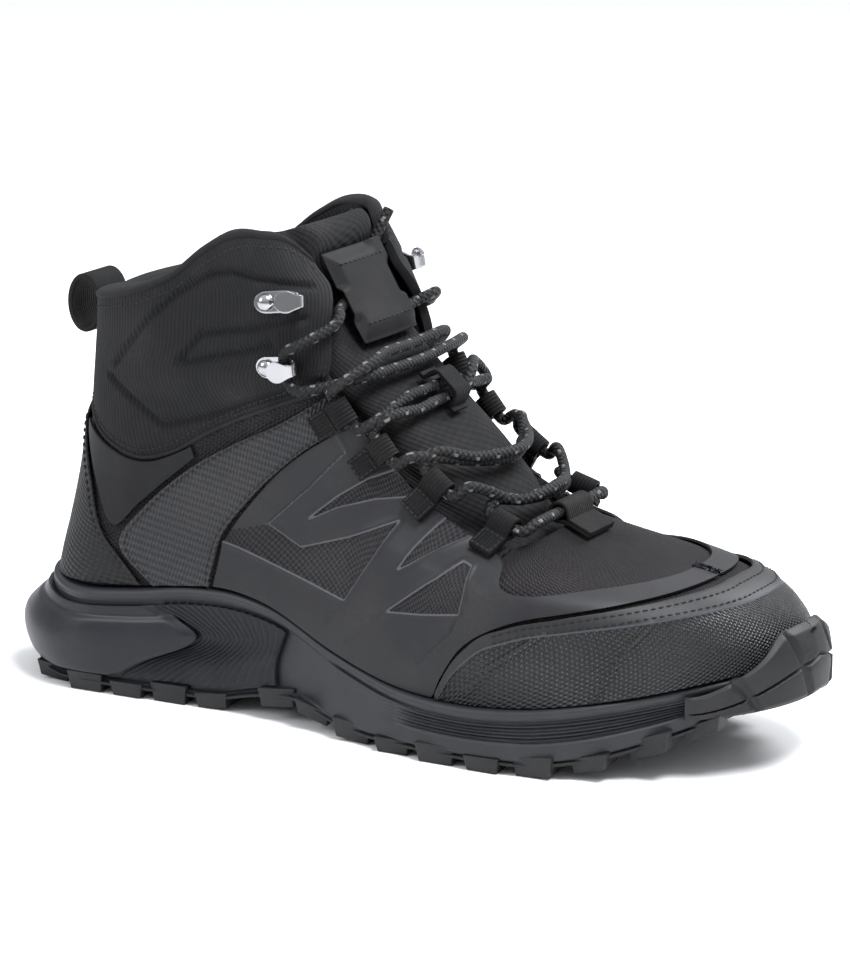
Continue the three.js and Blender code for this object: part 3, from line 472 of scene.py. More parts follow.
def distance(points, route):
    """How far each point is from a route of points."""
    best = np.full(len(points), 1e9)
    for a, b in zip(route[:-1], route[1:]):
        way = b - a
        t = np.clip(((points - a) @ way) / max(way @ way, 1e-9), 0, 1)
        best = np.minimum(best, np.linalg.norm(points - a - t[:, None] * way, axis=1))
    return best


def straight(points, side, closed=False, step=2.0):
    """Side-view points joined by straight lines and laid on one side of the skin."""
    ends = points + points[:1] if closed else points
    xs, zs = [], []
    for (x0, z0), (x1, z1) in zip(ends[:-1], ends[1:]):
        count = max(1, round(math.hypot(x1 - x0, z1 - z0) / step))
        t = np.arange(count) / count
        xs.extend(mix(x0, x1, t))
        zs.extend(mix(z0, z1, t))
    xs, zs = np.array(xs + [ends[-1][0]]), np.array(zs + [ends[-1][1]])
    return skin(side * way_round(xs, zs), zs)


def inside(points, outline):
    """Whether each point lies inside a side-view outline."""
    x, z = points[:, 0], points[:, 2]
    found = np.zeros(len(x), bool)
    for (x0, z0), (x1, z1) in zip(outline, outline[1:] + outline[:1]):
        if z0 != z1:
            found ^= ((z0 > z) != (z1 > z)) & (x < x0 + (z - z0) * (x1 - x0) / (z1 - z0))
    return found


def groove(distances, width, depth):
    """A rounded groove of this width and depth along a line."""
    return -depth * (1 - smooth(0, width / 2, distances))


# ---- threads and stitches ----
def spaced(points, pitch):
    """Evenly spaced places along a route, with the route's direction at each."""
    steps = np.linalg.norm(np.diff(points, axis=0), axis=1)
    along = np.concatenate([[0], np.cumsum(steps)])
    count = max(2, int(along[-1] / pitch))
    at = (np.arange(count) + 0.5) * along[-1] / count
    places = np.stack([np.interp(at, along, points[:, k]) for k in range(3)], 1)
    ahead = np.stack([np.interp(at + 0.2, along, points[:, k]) for k in range(3)], 1)
    behind = np.stack([np.interp(at - 0.2, along, points[:, k]) for k in range(3)], 1)
    ways = ahead - behind
    return places, ways / np.linalg.norm(ways, axis=1, keepdims=True)


# Half the length, width and thickness of a stitch.
STITCH = [1.0, 0.38, 0.34]


def stitches(name, rows, body="boot", pitch=2.7):
    """Rows of stitches in one piece: each row is (points, normals of the cloth)."""
    deselect()
    bpy.ops.mesh.primitive_uv_sphere_add(segments=6, ring_count=4, radius=1)
    model = bpy.context.object
    shape = coordinates(model) * STITCH
    faces = [list(p.vertices) for p in model.data.polygons]
    bpy.data.objects.remove(model)
    points, polygons = [], []
    for route, normals in rows:
        places, ways = spaced(route, pitch)
        nearest = ((places[:, None] - route[None]) ** 2).sum(-1).argmin(1)
        for place, way, normal in zip(places, ways, normals[nearest]):
            across = np.cross(normal, way)
            across = across / np.linalg.norm(across)
            start = len(points) * len(shape)
            points.append(place + shape @ np.array([way, across, np.cross(way, across)]))
            polygons.extend([[start + i for i in face] for face in faces])
    mesh = bpy.data.meshes.new(name)
    mesh.from_pydata([Vector(p) for p in (np.concatenate(points) - MIDDLE) * MM], [], polygons)
    piece = bpy.data.objects.new(name, mesh)
    scene.collection.objects.link(piece)
    smooth_faces(piece, 60)
    return dress(piece, looks["thread"], body)


def row_on(place, out, ends=(0, 1), count=160):
    """A route on the skin along place(t) -> way round and height, with its normals."""
    s, z = place(np.linspace(ends[0], ends[1], count))
    return on_skin(s, z, out + 0 * s), skin_normal(s, z)


def toward(t, low, high, start, end):
    """The value at t on the straight line from start, at low, to end, at high."""
    return ((high - t) * start + (t - low) * end) / (high - low)


def catmull(points, spacing):
    """A centripetal curve through the points, evenly sampled."""
    points = np.array(points, float)
    points = np.vstack([2 * points[0] - points[1], points, 2 * points[-1] - points[-2]])
    found = []
    for i in range(1, len(points) - 2):
        p = points[i - 1:i + 3]
        knots = np.concatenate([[0], np.cumsum(np.linalg.norm(np.diff(p, axis=0), axis=1) ** 0.5)])
        t = np.linspace(knots[1], knots[2], 24, endpoint=False)[:, None]
        a = [toward(t, knots[k], knots[k + 1], p[k], p[k + 1]) for k in range(3)]
        b = [toward(t, knots[k], knots[k + 2], a[k], a[k + 1]) for k in range(2)]
        found.append(toward(t, knots[1], knots[2], b[0], b[1]))
    found = np.vstack([*found, points[-2:-1]])
    along = np.concatenate([[0], np.cumsum(np.linalg.norm(np.diff(found, axis=0), axis=1))])
    at = np.linspace(0, along[-1], max(3, round(along[-1] / spacing)))
    return np.stack([np.interp(at, along, found[:, k]) for k in range(3)], 1), along[-1]


def tube(name, points, radius, sides=14, spacing=0.9):
    """A round cord along a route, closed at both ends, with a UV map of its real size."""
    route, length = catmull(points, spacing)
    ways = np.gradient(route, axis=0)
    ways /= np.linalg.norm(ways, axis=1, keepdims=True)
    first = np.cross(ways[0], [0.3, 0.2, 1.0])
    across = [first / np.linalg.norm(first)]
    for way in ways[1:]:
        turned = across[-1] - (across[-1] @ way) * way
        across.append(turned / np.linalg.norm(turned))
    across = np.array(across)
    above = np.cross(ways, across)
    rows = len(route) + 1
    piece, u, v = grid(name, sides, rows)
    row = np.round(v * rows).astype(int)
    at = np.clip(row - 1, 0, len(route) - 1)
    reach = np.where((row == 0) | (row == rows), 0.0, radius)[:, None]
    turn = (2 * np.pi * u)[:, None]
    lay(piece, route[at] + reach * (np.cos(turn) * across[at] + np.sin(turn) * above[at]))
    size_uv(piece, 2 * np.pi * radius, length)
    weld(piece)
    smooth_faces(piece, 60)
    return piece


# ---- materials ----
def shade(red, green=None, blue=None):
    """A colour from screen values of 0 to 255."""
    parts = (red, red if green is None else green, red if blue is None else blue)
    linear = [(p / 255 / 12.92) if p < 11 else ((p / 255 + 0.055) / 1.055) ** 2.4 for p in parts]
    return (*linear, 1.0)


def node(tree, kind, inputs=None, **settings):
    """Adds a shader node. Inputs are values or the output sockets that feed them."""
    made = tree.nodes.new(kind)
    for key, value in settings.items():
        setattr(made, key, value)
    for key, value in (inputs or {}).items():
        if isinstance(value, bpy.types.NodeSocket):
            tree.links.new(value, made.inputs[key])
        else:
            made.inputs[key].default_value = value
    return made


def math_node(tree, operation, a, b=0.0):
    return node(tree, "ShaderNodeMath", {0: a, 1: b}, operation=operation).outputs[0]


def blend_colors(tree, share, a, b):
    made = node(tree, "ShaderNodeMix", {0: share, 6: a, 7: b}, data_type="RGBA")
    return made.outputs[2]


def new_group(name, inputs, outputs):
    group = bpy.data.node_groups.new(name, "ShaderNodeTree")
    for direction, sockets in (("INPUT", inputs), ("OUTPUT", outputs)):
        for label, kind in sockets.items():
            group.interface.new_socket(name=label, in_out=direction, socket_type=kind)
    return group, group.nodes.new("NodeGroupInput"), group.nodes.new("NodeGroupOutput")


def lattice_group():
    """Threads, ribs or dots: the sum of three waves across the piece's own UV map."""
    group, start, end = new_group(
        "lattice",
        {"A": "NodeSocketVector", "B": "NodeSocketVector", "C": "NodeSocketVector"},
        {"Height": "NodeSocketFloat"},
    )
    uv = node(group, "ShaderNodeTexCoord").outputs["UV"]
    total = 0.0
    for label in "ABC":
        inputs = {0: uv, 1: start.outputs[label]}
        product = node(group, "ShaderNodeVectorMath", inputs, operation="DOT_PRODUCT")
        total = math_node(group, "ADD", math_node(group, "COSINE", product.outputs["Value"]), total)
    group.links.new(math_node(group, "DIVIDE", total, 3.0), end.inputs["Height"])
    return group


def dust_group():
    """Faint pale dust and worn patches, laid in the object's own space."""
    group, start, end = new_group(
        "dust",
        {"Color": "NodeSocketColor", "Dust": "NodeSocketColor", "Amount": "NodeSocketFloat"},
        {"Color": "NodeSocketColor", "Noise": "NodeSocketFloat"},
    )
    place = node(group, "ShaderNodeTexCoord").outputs["Object"]
    soft = {"Vector": place, "Scale": 34.0, "Detail": 5.0, "Roughness": 0.6}
    patches = node(group, "ShaderNodeTexNoise", soft)
    specks = node(group, "ShaderNodeTexNoise", {"Vector": place, "Scale": 900.0, "Detail": 2.0})
    wide = math_node(group, "SUBTRACT", patches.outputs[0], 0.42)
    share = math_node(group, "MULTIPLY", math_node(group, "MAXIMUM", wide, 0.0), start.outputs["Amount"])
    fine = math_node(group, "MULTIPLY", specks.outputs[0], math_node(group, "MULTIPLY", share, 2.6))
    mixed = blend_colors(group, fine, start.outputs["Color"], start.outputs["Dust"])
    group.links.new(mixed, end.inputs["Color"])
    group.links.new(patches.outputs[0], end.inputs["Noise"])
    return group


def grain_group():
    """A fine grain for a surface's height, in the object's own space."""
    group, start, end = new_group("grain", {"Scale": "NodeSocketFloat"}, {"Height": "NodeSocketFloat"})
    place = node(group, "ShaderNodeTexCoord").outputs["Object"]
    inputs = {"Vector": place, "Scale": start.outputs["Scale"], "Detail": 4.0}
    grain = node(group, "ShaderNodeTexNoise", inputs)
    group.links.new(grain.outputs[0], end.inputs["Height"])
    return group


def wave(angle, pitch):
    """One wave's direction and rate over a UV map in metres."""
    rate = 2 * math.pi / (pitch * MM)
    return (rate * math.cos(math.radians(angle)), rate * math.sin(math.radians(angle)), 0.0)


FLECK_PITCH = (3.98, 8.5)
FLECK_SHARE = (0.3, 0.2)
# The width of the painted highlight: a pale line along the inner rim of the film and the toe cap's border.
HIGHLIGHT_RIM_WIDTH = 0.55


def threaded(tree, color, waves, gap_shade):
    """The threads' height, and their colour, with painted shade darkening the hollows between them."""
    vectors = [wave(*w) for w in waves] + [(0.0, 0.0, 0.0)] * (3 - len(waves))
    threads = node(tree, "ShaderNodeGroup", node_tree=groups["lattice"])
    for label, vector in zip("ABC", vectors):
        threads.inputs[label].default_value = vector
    height = threads.outputs["Height"]
    # Painted shade: the colour in the hollows between threads, darkened by this factor.
    deep = tuple(c * gap_shade for c in color.default_value[:3]) + (1.0,)
    low = (3 - len(waves)) / 3 - len(waves) / 3
    raised = node(tree, "ShaderNodeMapRange", {"Value": height, "From Min": low, "From Max": 1.0})
    return height, blend_colors(tree, raised.outputs[0], deep, color)


def masked(tree, tint, height, rough, mask):
    """The colour, height and roughness with the smooth part laid over the threads, with a painted highlight
    at its rim.
    """
    edge = node(tree, "ShaderNodeAttribute", attribute_name=mask[0]).outputs["Fac"]
    is_film = math_node(tree, "GREATER_THAN", edge, 0.0)
    # Painted highlight: a pale line just inside the rim of the smooth part, where its edge is under the rim
    # width.
    rim = math_node(tree, "MULTIPLY", is_film, math_node(tree, "LESS_THAN", edge, HIGHLIGHT_RIM_WIDTH))
    pale = tuple(min(1.0, c * 6) for c in mask[1][:3]) + (1.0,)
    film_color = blend_colors(tree, rim, mask[1], pale)
    tint = blend_colors(tree, is_film, tint, film_color)
    height = math_node(tree, "MULTIPLY", height, math_node(tree, "SUBTRACT", 1.0, is_film))
    roughness = node(tree, "ShaderNodeMapRange", {"Value": is_film, "To Min": rough, "To Max": mask[2]})
    return tint, height, roughness.outputs[0]


def flecked(tree, tint):
    """Short pale flecks at an even pitch round the cord and along it."""
    uv = node(tree, "ShaderNodeSeparateXYZ", {0: node(tree, "ShaderNodeTexCoord").outputs["UV"]})
    parts = []
    for axis, pitch, share in zip("XY", FLECK_PITCH, FLECK_SHARE):
        turns = math_node(tree, "DIVIDE", uv.outputs[axis], pitch * MM)
        parts.append(math_node(tree, "LESS_THAN", math_node(tree, "FRACT", turns), share))
    return blend_colors(tree, math_node(tree, "MULTIPLY", *parts), tint, shade(96))


def make_look(name, color, rough, waves=(), depth=0.0, grain=1500.0, grain_depth=0.05, gap_shade=0.6, dust=0.07,
              metal=0.0, mask=None, glow=0.5, flecks=False):
    """A procedural material: a coloured base with dust, threads or ribs with painted shade between them, and
    a fine grain.

    mask, when given, is (attribute, colour, roughness): below 0 the threads show, above it the smooth colour,
    with a painted pale highlight just above 0.
    """
    look = bpy.data.materials.new(name)
    look.use_nodes = True
    tree = look.node_tree
    shader = tree.nodes["Principled BSDF"]
    base = node(tree, "ShaderNodeRGB")
    base.outputs[0].default_value = color
    tint = base.outputs[0]
    height = None
    if waves:
        height, tint = threaded(tree, tint, waves, gap_shade)
    if mask:
        tint, height, roughness = masked(tree, tint, height, rough, mask)
        tree.links.new(roughness, shader.inputs["Roughness"])
    else:
        shader.inputs["Roughness"].default_value = rough
    if flecks:
        tint = flecked(tree, tint)
    dusty = node(tree, "ShaderNodeGroup", node_tree=groups["dust"])
    tree.links.new(tint, dusty.inputs["Color"])
    dusty.inputs["Dust"].default_value = shade(150, 146, 140)
    dusty.inputs["Amount"].default_value = dust
    tree.links.new(dusty.outputs["Color"], shader.inputs["Base Color"])
    fine = node(tree, "ShaderNodeGroup", node_tree=groups["grain"])
    fine.inputs["Scale"].default_value = grain
    bump = node(tree, "ShaderNodeBump", {"Height": fine.outputs["Height"], "Distance": grain_depth * MM})
    if height is not None:
        inputs = {"Height": height, "Distance": depth * MM, "Normal": bump.outputs[0]}
        bump = node(tree, "ShaderNodeBump", inputs)
    tree.links.new(bump.outputs[0], shader.inputs["Normal"])
    shader.inputs["Metallic"].default_value = metal
    shader.inputs["Specular IOR Level"].default_value = glow
    return look


groups = {"lattice": lattice_group(), "dust": dust_group(), "grain": grain_group()}
# Weaves and ribs: each wave is (its turn in degrees, its pitch in millimetres).
MESH = [(38, 1.7), (-52, 1.5)]
DOTS = [(0, 1.4), (60, 1.4), (120, 1.4)]
HEEL_WEAVE = [(30, 1.4), (-60, 1.9)]
BAND_WEAVE = [(80, 2.4), (-16, 1.3)]
CUFF_RIBS = [(0, 1.5)]
BINDING_WEAVE = [(60, 0.9), (-60, 0.9)]
WEBBING_RIBS = [(90, 1.3)]
BRAID = [(56, 1.7), (-56, 1.7)]
looks = {
    "rubber": make_look("outsole_rubber", shade(19, 19, 21), 0.55, grain=1400, grain_depth=0.06, glow=0.35),
    "foam": make_look("midsole_foam", shade(27, 29, 34), 0.5, grain=2200, grain_depth=0.05, glow=0.4),
    "arch": make_look("arch_foam", shade(22, 23, 27), 0.6, grain=2200, grain_depth=0.05, glow=0.3),
    "clip": make_look("heel_clip", shade(14, 16, 23), 0.38, grain=1200, grain_depth=0.02, glow=0.35),
    "board": make_look("board", shade(150, 142, 128), 0.9),
    "footbed": make_look("footbed", shade(40, 40, 43), 0.95, MESH, 0.3),
    "cloth": make_look("mesh_cloth", shade(38, 34, 38), 0.9, DOTS, 0.5, gap_shade=0.12, glow=0.3),
    "film": make_look("film_cloth", shade(48, 46, 49), 0.85, MESH, 0.5, gap_shade=0.12, glow=0.3,
                      mask=("film_edge", shade(25, 25, 28), 0.5)),
    "smooth_film": make_look("film", shade(12, 12, 15), 0.55, grain=1800, grain_depth=0.02, glow=0.22),
    "badge": make_look("badge_film", shade(10, 10, 13), 0.6, grain=1800, grain_depth=0.02, glow=0.15),
    "lining": make_look("lining", shade(26, 26, 28), 0.96, MESH, 0.3, gap_shade=0.3, glow=0.15),
    "toe_cap": make_look("toe_cap", shade(26, 26, 29), 0.42, DOTS, 0.6, gap_shade=0.15, glow=0.4,
                         mask=("border", shade(17, 17, 20), 0.55)),
    "heel_cap": make_look("heel_cap", shade(21, 21, 23), 0.6, HEEL_WEAVE, 0.4, gap_shade=0.3, glow=0.3),
    "woven": make_look("woven_band", shade(56, 56, 59), 0.65, BAND_WEAVE, 0.6, gap_shade=0.12, glow=0.4),
    "cuff": make_look("cuff_fabric", shade(26, 26, 28), 0.88, CUFF_RIBS, 0.3, gap_shade=0.5, glow=0.25),
    "binding": make_look("binding", shade(26, 26, 28), 0.8, BINDING_WEAVE, 0.1, glow=0.25),
    "tongue": make_look("tongue_fabric", shade(23, 23, 25), 0.9, MESH, 0.22, gap_shade=0.5, glow=0.25),
    "webbing": make_look("webbing", shade(10, 10, 12), 0.75, WEBBING_RIBS, 0.5, gap_shade=0.2, glow=0.2),
    "lace": make_look("lace", shade(17, 17, 19), 0.65, BRAID, 0.4, gap_shade=0.3, glow=0.3, flecks=True),
    "metal": make_look("hook_metal", shade(168, 168, 170), 0.18, grain=3000, grain_depth=0.01, metal=1.0),
    "thread": make_look("thread", shade(22, 22, 24), 0.7, grain=4000, grain_depth=0.02, glow=0.3),
}


# ---- sole ----
def ring_piece(name, rows, columns=200):
    """A closed body round the sole, from rows of (outline, height) between two points of its centre line."""
    piece, u, v = grid(name, columns, len(rows) - 1)
    row = np.round(v * (len(rows) - 1)).astype(int)
    points = np.zeros((len(u), 3))
    for i, (outline, height) in enumerate(rows):
        chosen = row == i
        x, y = outline(2 * u[chosen] - 1)
        points[chosen] = np.stack([x, y, height(x)], -1)
    lay(piece, points)
    size_uv(piece, 700, 40)
    weld(piece)
    smooth_faces(piece, 42)
    return piece


def to_middle(outline):
    """The outline's centre line, which closes a ring piece."""
    def middle(t):
        x, _ = outline(t)
        return x, bend(x)
    return middle


def closed_rows(rows):
    """Rows of a ring piece, closed to the centre line at both ends."""
    (first, first_height), (last, last_height) = rows[0], rows[-1]
    return [(to_middle(first), first_height), *rows, (to_middle(last), last_height)]


def recess(x):
    """How far the wall lies in, deeper from the arch back to the heel."""
    return 0.2 + 2.5 * smooth(2, -18, x)


def wall_outline(share):
    return mix(0.2, 0.85, share)


def wall_height(x, share):
    return mix(sole_bottom(x) + OUTSOLE_TOP + 1.4, sole_top(x) - 4.4, share)


GROOVES = 6
GROOVES_FROM = 0.42


def wall_inset(x, share):
    """How far in the midsole's wall lies: a step at its foot, and fine grooves above over the forefoot."""
    forefoot = smooth(18, 34, x)
    fine = 0.5 - 0.5 * np.cos(2 * np.pi * GROOVES * (share - GROOVES_FROM) / (1 - GROOVES_FROM))
    lines = np.where(share > GROOVES_FROM, fine, 0) * 0.75
    step = 0.5 * smooth(0.36, GROOVES_FROM, share)
    return recess(x) + forefoot * (lines + step)


def build_midsole():
    def foot(x):
        return sole_bottom(x) + OUTSOLE_TOP + SEAM_GAP

    def wall(share):
        def outline(t):
            plain, _ = sole_outline(t, wall_outline(share), 0)
            return sole_outline(t, wall_outline(share), wall_inset(plain, share))
        return outline, lambda x: wall_height(x, share)

    def rim(turn):
        angle = math.radians(turn)
        return (lambda t: sole_outline(t, 0.95, 1.7 - 1.7 * math.cos(angle)),
                lambda x: sole_top(x) - 1.8 + 1.8 * math.sin(angle))

    def cup_floor(x):
        return sole_top(x) - FLOOR_DEPTH

    rows = closed_rows([
        (lambda t: sole_outline(t, 0.1, 4), foot),
        (lambda t: sole_outline(t, 0.12, 0.9), foot),
        *[wall(share) for share in np.linspace(0, 1, 49)],
        (lambda t: sole_outline(t, 0.88, 1.1), lambda x: sole_top(x) - 4),
        *[rim(turn) for turn in (-50, -20, 10, 35, 60, 90)],
        (lambda t: last_outline(t, 5.4), sole_top),
        (lambda t: last_outline(t, 5.8), cup_floor),
    ])
    piece = ring_piece("midsole_body", rows, 260)
    dress(piece, looks["foam"], stands_for=["midsole"])


# The size of a lug's foot, against its top.
LUG_TAPER = 0.84


def make_lug(model, name, x, y, length, width, skew, lift):
    """A tread block copied from one bevelled cube."""
    piece = model.copy()
    piece.data = model.data.copy()
    piece.name = name
    piece.data.name = name
    scene.collection.objects.link(piece)
    shape = coordinates(model)
    grow = mix(LUG_TAPER, 1.0, shape[:, 2] + 0.5)
    px = x + grow * (shape[:, 0] * length + shape[:, 1] * skew * width)
    py = y + grow * shape[:, 1] * width
    low, high = sole_bottom(px), sole_bottom(px) + lift
    lay(piece, np.stack([px, py, mix(low, high, shape[:, 2] + 0.5)], -1))
    return piece


EDGE_LUGS = [-126, -109, -92, -75, -58, -30, -14, 4, 22, 40, 58, 76, 94, 111, 126]
MIDDLE_LUGS = [-133, -101, -84, -67, 13, 31, 49, 67, 85, 102, 118, 134]
# Rows up the tread's edge: how high up the sole's outline, how far in, and how far above the sole's bottom.
TREAD_ROWS = [
    (0, 3.5, TREAD_DEPTH), (0.05, 1.2, TREAD_DEPTH + 0.1), (0.08, 0.3, TREAD_DEPTH + 0.8),
    (0.1, 0.2, OUTSOLE_TOP - 0.4), (0.1, 0.8, OUTSOLE_TOP), (0.1, 3.5, OUTSOLE_TOP),
]


def tread_row(height, inset, lift):
    return lambda t: sole_outline(t, height, inset), lambda x: sole_bottom(x) + lift


def edge_lug(model, number, x, side):
    """A lug at the tread's edge: every second one is longer and taller."""
    tall = number % 2 == 1
    across = 11 if abs(x) > 116 else 16
    width = outer_sole(x) if side < 0 else inner_sole(x)
    width = width * rounding(SOLE_FRONT - x, *TOE_ROUND) * rounding(x - heel_end(0), *HEEL_ROUND)
    y = bend(x) + side * (width - across / 2 + 0.5)
    lift = OUTSOLE_TOP + (2.4 if tall else 0.9)
    return make_lug(model, "lug", x, y, 15 if tall else 13.5, across, side * 0.12, lift)


def middle_lug(model, x, side):
    """One half of a chevron under the middle of the tread."""
    across = 9 if x > 110 or x < -120 else 14
    y = bend(x) + side * (across / 2 + 1)
    return make_lug(model, "lug", x, y, 8, across, -side * 0.5, TREAD_DEPTH + 0.4)


def build_outsole():
    deselect()
    bpy.ops.mesh.primitive_cube_add(size=1)
    model = bpy.context.object
    bevel = model.modifiers.new("edge", "BEVEL")
    bevel.width = 0.05
    bevel.segments = 2
    apply_modifiers(model)
    lugs = [ring_piece("outsole_body", closed_rows([tread_row(*row) for row in TREAD_ROWS]))]
    lugs += [edge_lug(model, i, x, side) for side in (OUTER, INNER) for i, x in enumerate(EDGE_LUGS)]
    lugs += [middle_lug(model, x, side) for x in MIDDLE_LUGS for side in (OUTER, INNER)]
    bpy.data.objects.remove(model)
    deselect()
    for lug in lugs:
        lug.select_set(True)
    bpy.context.view_layer.objects.active = lugs[0]
    bpy.ops.object.join()
    smooth_faces(lugs[0], 35)
    dress(lugs[0], looks["rubber"], stands_for=["outsole"])


CLIP_FRONT = curve([[0, 0.277], [0.25, 0.31], [0.5, 0.352], [0.62, 0.358], [0.8, 0.335], [1, 0.3]])
CLIP_SWELL, CLIP_LEDGE, CLIP_STEP = 1.5, 0.82, 0.9
ARCH_FRONT = 0.435
ARCH_RIBS = 16
WALL_MARGIN = 0.05


def wall_sheet(name, along, out, columns, rows, thickness):
    """A plate on the sole's wall: along gives its place round the outline, out its height off the wall."""
    piece, u, v = grid(name, columns, rows)
    share = mix(WALL_MARGIN, 1 - WALL_MARGIN, v)
    t = along(u, v)
    x, y = sole_outline(t, wall_outline(share), -out(u, v))
    points = np.stack([x, y, wall_height(x, share)], -1)
    lay(piece, points)
    face_along(piece, np.stack([np.where(x < -100, -30.0, 0.0), y - bend(x), 0 * x], -1))
    size_uv(piece, 180, 26)
    thicken(piece, thickness, 0.5)
    smooth_faces(piece)
    return piece


def build_wall_pieces():
    def clip_out(u, v):
        ends = 1 - smooth(0.0, 0.02, u) * smooth(1.0, 0.98, u)
        ledge = CLIP_STEP * smooth(0.80, 0.86, v)
        swell = CLIP_SWELL * np.sin(np.pi * np.clip(v, 0, CLIP_LEDGE) / CLIP_LEDGE) ** 0.7
        return 0.3 + swell - ledge - CLIP_STEP * ends

    def clip_along(u, v):
        return mix(-1, 1, u) * CLIP_FRONT(v)

    def rib_out(u, v):
        return -0.9 + 0.35 * np.cos(2 * np.pi * ARCH_RIBS * u) * smooth(0, 0.06, v)

    clip = wall_sheet("heel_clip_body", clip_along, clip_out, 240, 36, 1.8)
    dress(clip, looks["clip"], stands_for=["heel_clip"])
    for label, side in SIDES.items():
        def arch_along(u, v):
            return -side * mix(CLIP_FRONT(v) + 0.005, ARCH_FRONT, u)

        arch = wall_sheet(f"arch_{label}", arch_along, rib_out, 128, 18, 1.0)
        dress(arch, looks["arch"], stands_for=[f"arch_panel_{label}"])


# How many millimetres a whole share of the bumper's width or height stands for, where its blocks part,
# its top at the middle, how far it lies off the sole and cap, and how far its blocks stand out.
BUMPER_REACH = 34
BUMPER_SPLITS = (-0.66, -0.22, 0.22, 0.66)
BUMPER_TOP = 47.5
BUMPER_OUT = 3.0
BLOCK_OUT = 1.5


def bumper_blocks(across, v):
    """How far the bumper's blocks stand out: grooves part them, and they fade at its border."""
    gaps = [np.abs(across - split - 0.16 * np.sign(split) * (v - 0.5)) for split in BUMPER_SPLITS]
    gaps.append(np.abs(v - 0.55 + 0.3 * np.abs(across)))
    blocks = BLOCK_OUT * smooth(0.3, 1.5, np.min(gaps, axis=0) * BUMPER_REACH) - 0.4
    border = smooth(0, 0.08, v) * smooth(1, 0.9, v) * smooth(1, 0.92, np.abs(across))
    return blocks * border


def build_bumper():
    """The rubber bumper: chunky blocks from under the sole's edge up over the toe cap."""
    piece, u, v = grid("toe_bumper_body", 150, 64)
    across = mix(-1, 1, u)
    t = np.where(across > 0, -1, 1) * (1 - 0.2 * np.abs(across))
    top = mix(BUMPER_TOP, sole_top(135) - 5, smooth(0.25, 1, np.abs(across)))
    z = mix(sole_bottom(145) + 1 - 4 * np.abs(across), top, v)
    ex, ey = sole_outline(t, 1, 0)
    high = np.maximum(z, 30)
    cap = on_skin(way_across(ey * 0.82, high), high, 3.1 + 0 * z)
    climb = smooth(33, 44, z)
    points = np.stack([mix(ex, cap[:, 0], climb), mix(ey, cap[:, 1], climb), z], -1)
    away = np.stack([points[:, 0] - 90, (points[:, 1] - bend(points[:, 0])) * 1.4, 12 * climb], -1)
    away /= np.linalg.norm(away, axis=1, keepdims=True)
    lay(piece, points + away * (BUMPER_OUT + bumper_blocks(across, v))[:, None])
    face_along(piece, away)
    size_uv(piece, 70, 35)
    thicken(piece, 1.8, 0.5)
    smooth_faces(piece, 50)
    dress(piece, looks["rubber"], stands_for=["toe_bumper"])


def build_footbed():
    def layer(inset, lift):
        return lambda t: last_outline(t, inset), lambda x: sole_top(x) - FLOOR_DEPTH + lift

    rows = [layer(11, 2.3), layer(10.8, 2.8), layer(10.8, 6.2), layer(11.3, 6.8), layer(12.2, 7)]
    piece = ring_piece("footbed_body", closed_rows(rows), 140)
    dress(piece, looks["footbed"], "footbed", ["footbed"])


# ---- upper ----
VAMP_TOP, VAMP_SIDE_TOP = 74.5, 70.6
VAMP_GUESS, COLLAR_GUESS = 26, 140


def vamp_place(u, v):
    across = mix(-1, 1, u)
    high = mix(VAMP_TOP, VAMP_SIDE_TOP, across * across)
    z = VAMP_GUESS + 0 * u
    for _ in range(8):
        s = across * way_round(vamp_seam(z), z)
        z = mix(feather(s), high, v)
    return s, z


quarter_low = path([[x, 0] for x in (34, 30, 24, 17, 8, -1, -12, -24, -38, -53, -68, -84, -100, -116, -134)])
quarter_high = path([[56.8, 70.6], [44.5, 74], [36, 78.3], [27.5, 83], [17, 91.6], [9.5, 99.6], [-0.5, 110],
                     [-8.5, 117.4], [-24, 112.8], [-42, 105.5], [-58, 97.6], [-74, 88.8], [-87, 85.4],
                     [-101, 89], [-119.6, 103]])
film_low = path([[-56, 43.4], [-38, 40], [-20, 36.5], [-5, 31.1], [8, 27.2], [20, 24.4], [30, 22.8],
                 [38, 22.3], [43, 30.5], [50, 40.5], [58, 46.5], [70, 51.8], [84, 54.8], [98, 57],
                 [110, 58.9], [118, 60.4]])
film_high = path([[-53, 60], [-45, 71], [-30, 87], [-13, 99.6], [1, 106], [11, 97], [21, 88], [32, 80],
                  [44, 73.2], [53, 69.4], [58.5, 66], [62, 60.5], [72, 59], [90, 60.6], [104, 61.6],
                  [112, 62.2]])
film_openings = [
    [(-62, 62), (-46, 59.3), (-22, 54), (1.5, 49), (11, 63.5), (19.5, 77), (1, 69.5), (-19, 63), (-34, 69),
     (-17, 84), (-2, 98.5), (-8, 108), (-40, 92)],
    [(-16, 73.6), (-4, 83), (7, 90), (20, 95), (26, 86), (10, 84), (-4, 79.5)],
    [(23, 62.6), (29, 71.5), (36, 80.5), (43, 80), (46, 75), (38, 71), (29, 66)],
    [(20.5, 48.4), (34, 58.5), (46, 66.5), (49, 65.5), (49, 59), (48, 51.6), (34, 49.7)],
]
engraved = [[(20, 48), (4, 36)], [(48, 52), (46, 45.5), (34, 34)], [(2, 49), (-5, 41)]]
band_low = path([[-58, 43.2], [-56.5, 52], [-53.5, 62], [-45, 73], [-32, 86], [-15, 99.4], [0, 107.4]])
band_high = path([[-80.5, 41.2], [-95, 54], [-84, 69.5], [-66, 84.5], [-47, 95.6], [-27, 105.4], [-9.5, 116]])
cover_low = path([[-112.2, 90], [-107.3, 76], [-98.6, 60.4], [-88, 69.2], [-78, 77.7], [-70, 84],
                  [-64, 88.8]])
cover_high = path([[-112.6, 95], [-108, 92], [-100, 88], [-91, 85], [-82, 85.2], [-73, 88.6],
                   [-65, 92.6]])
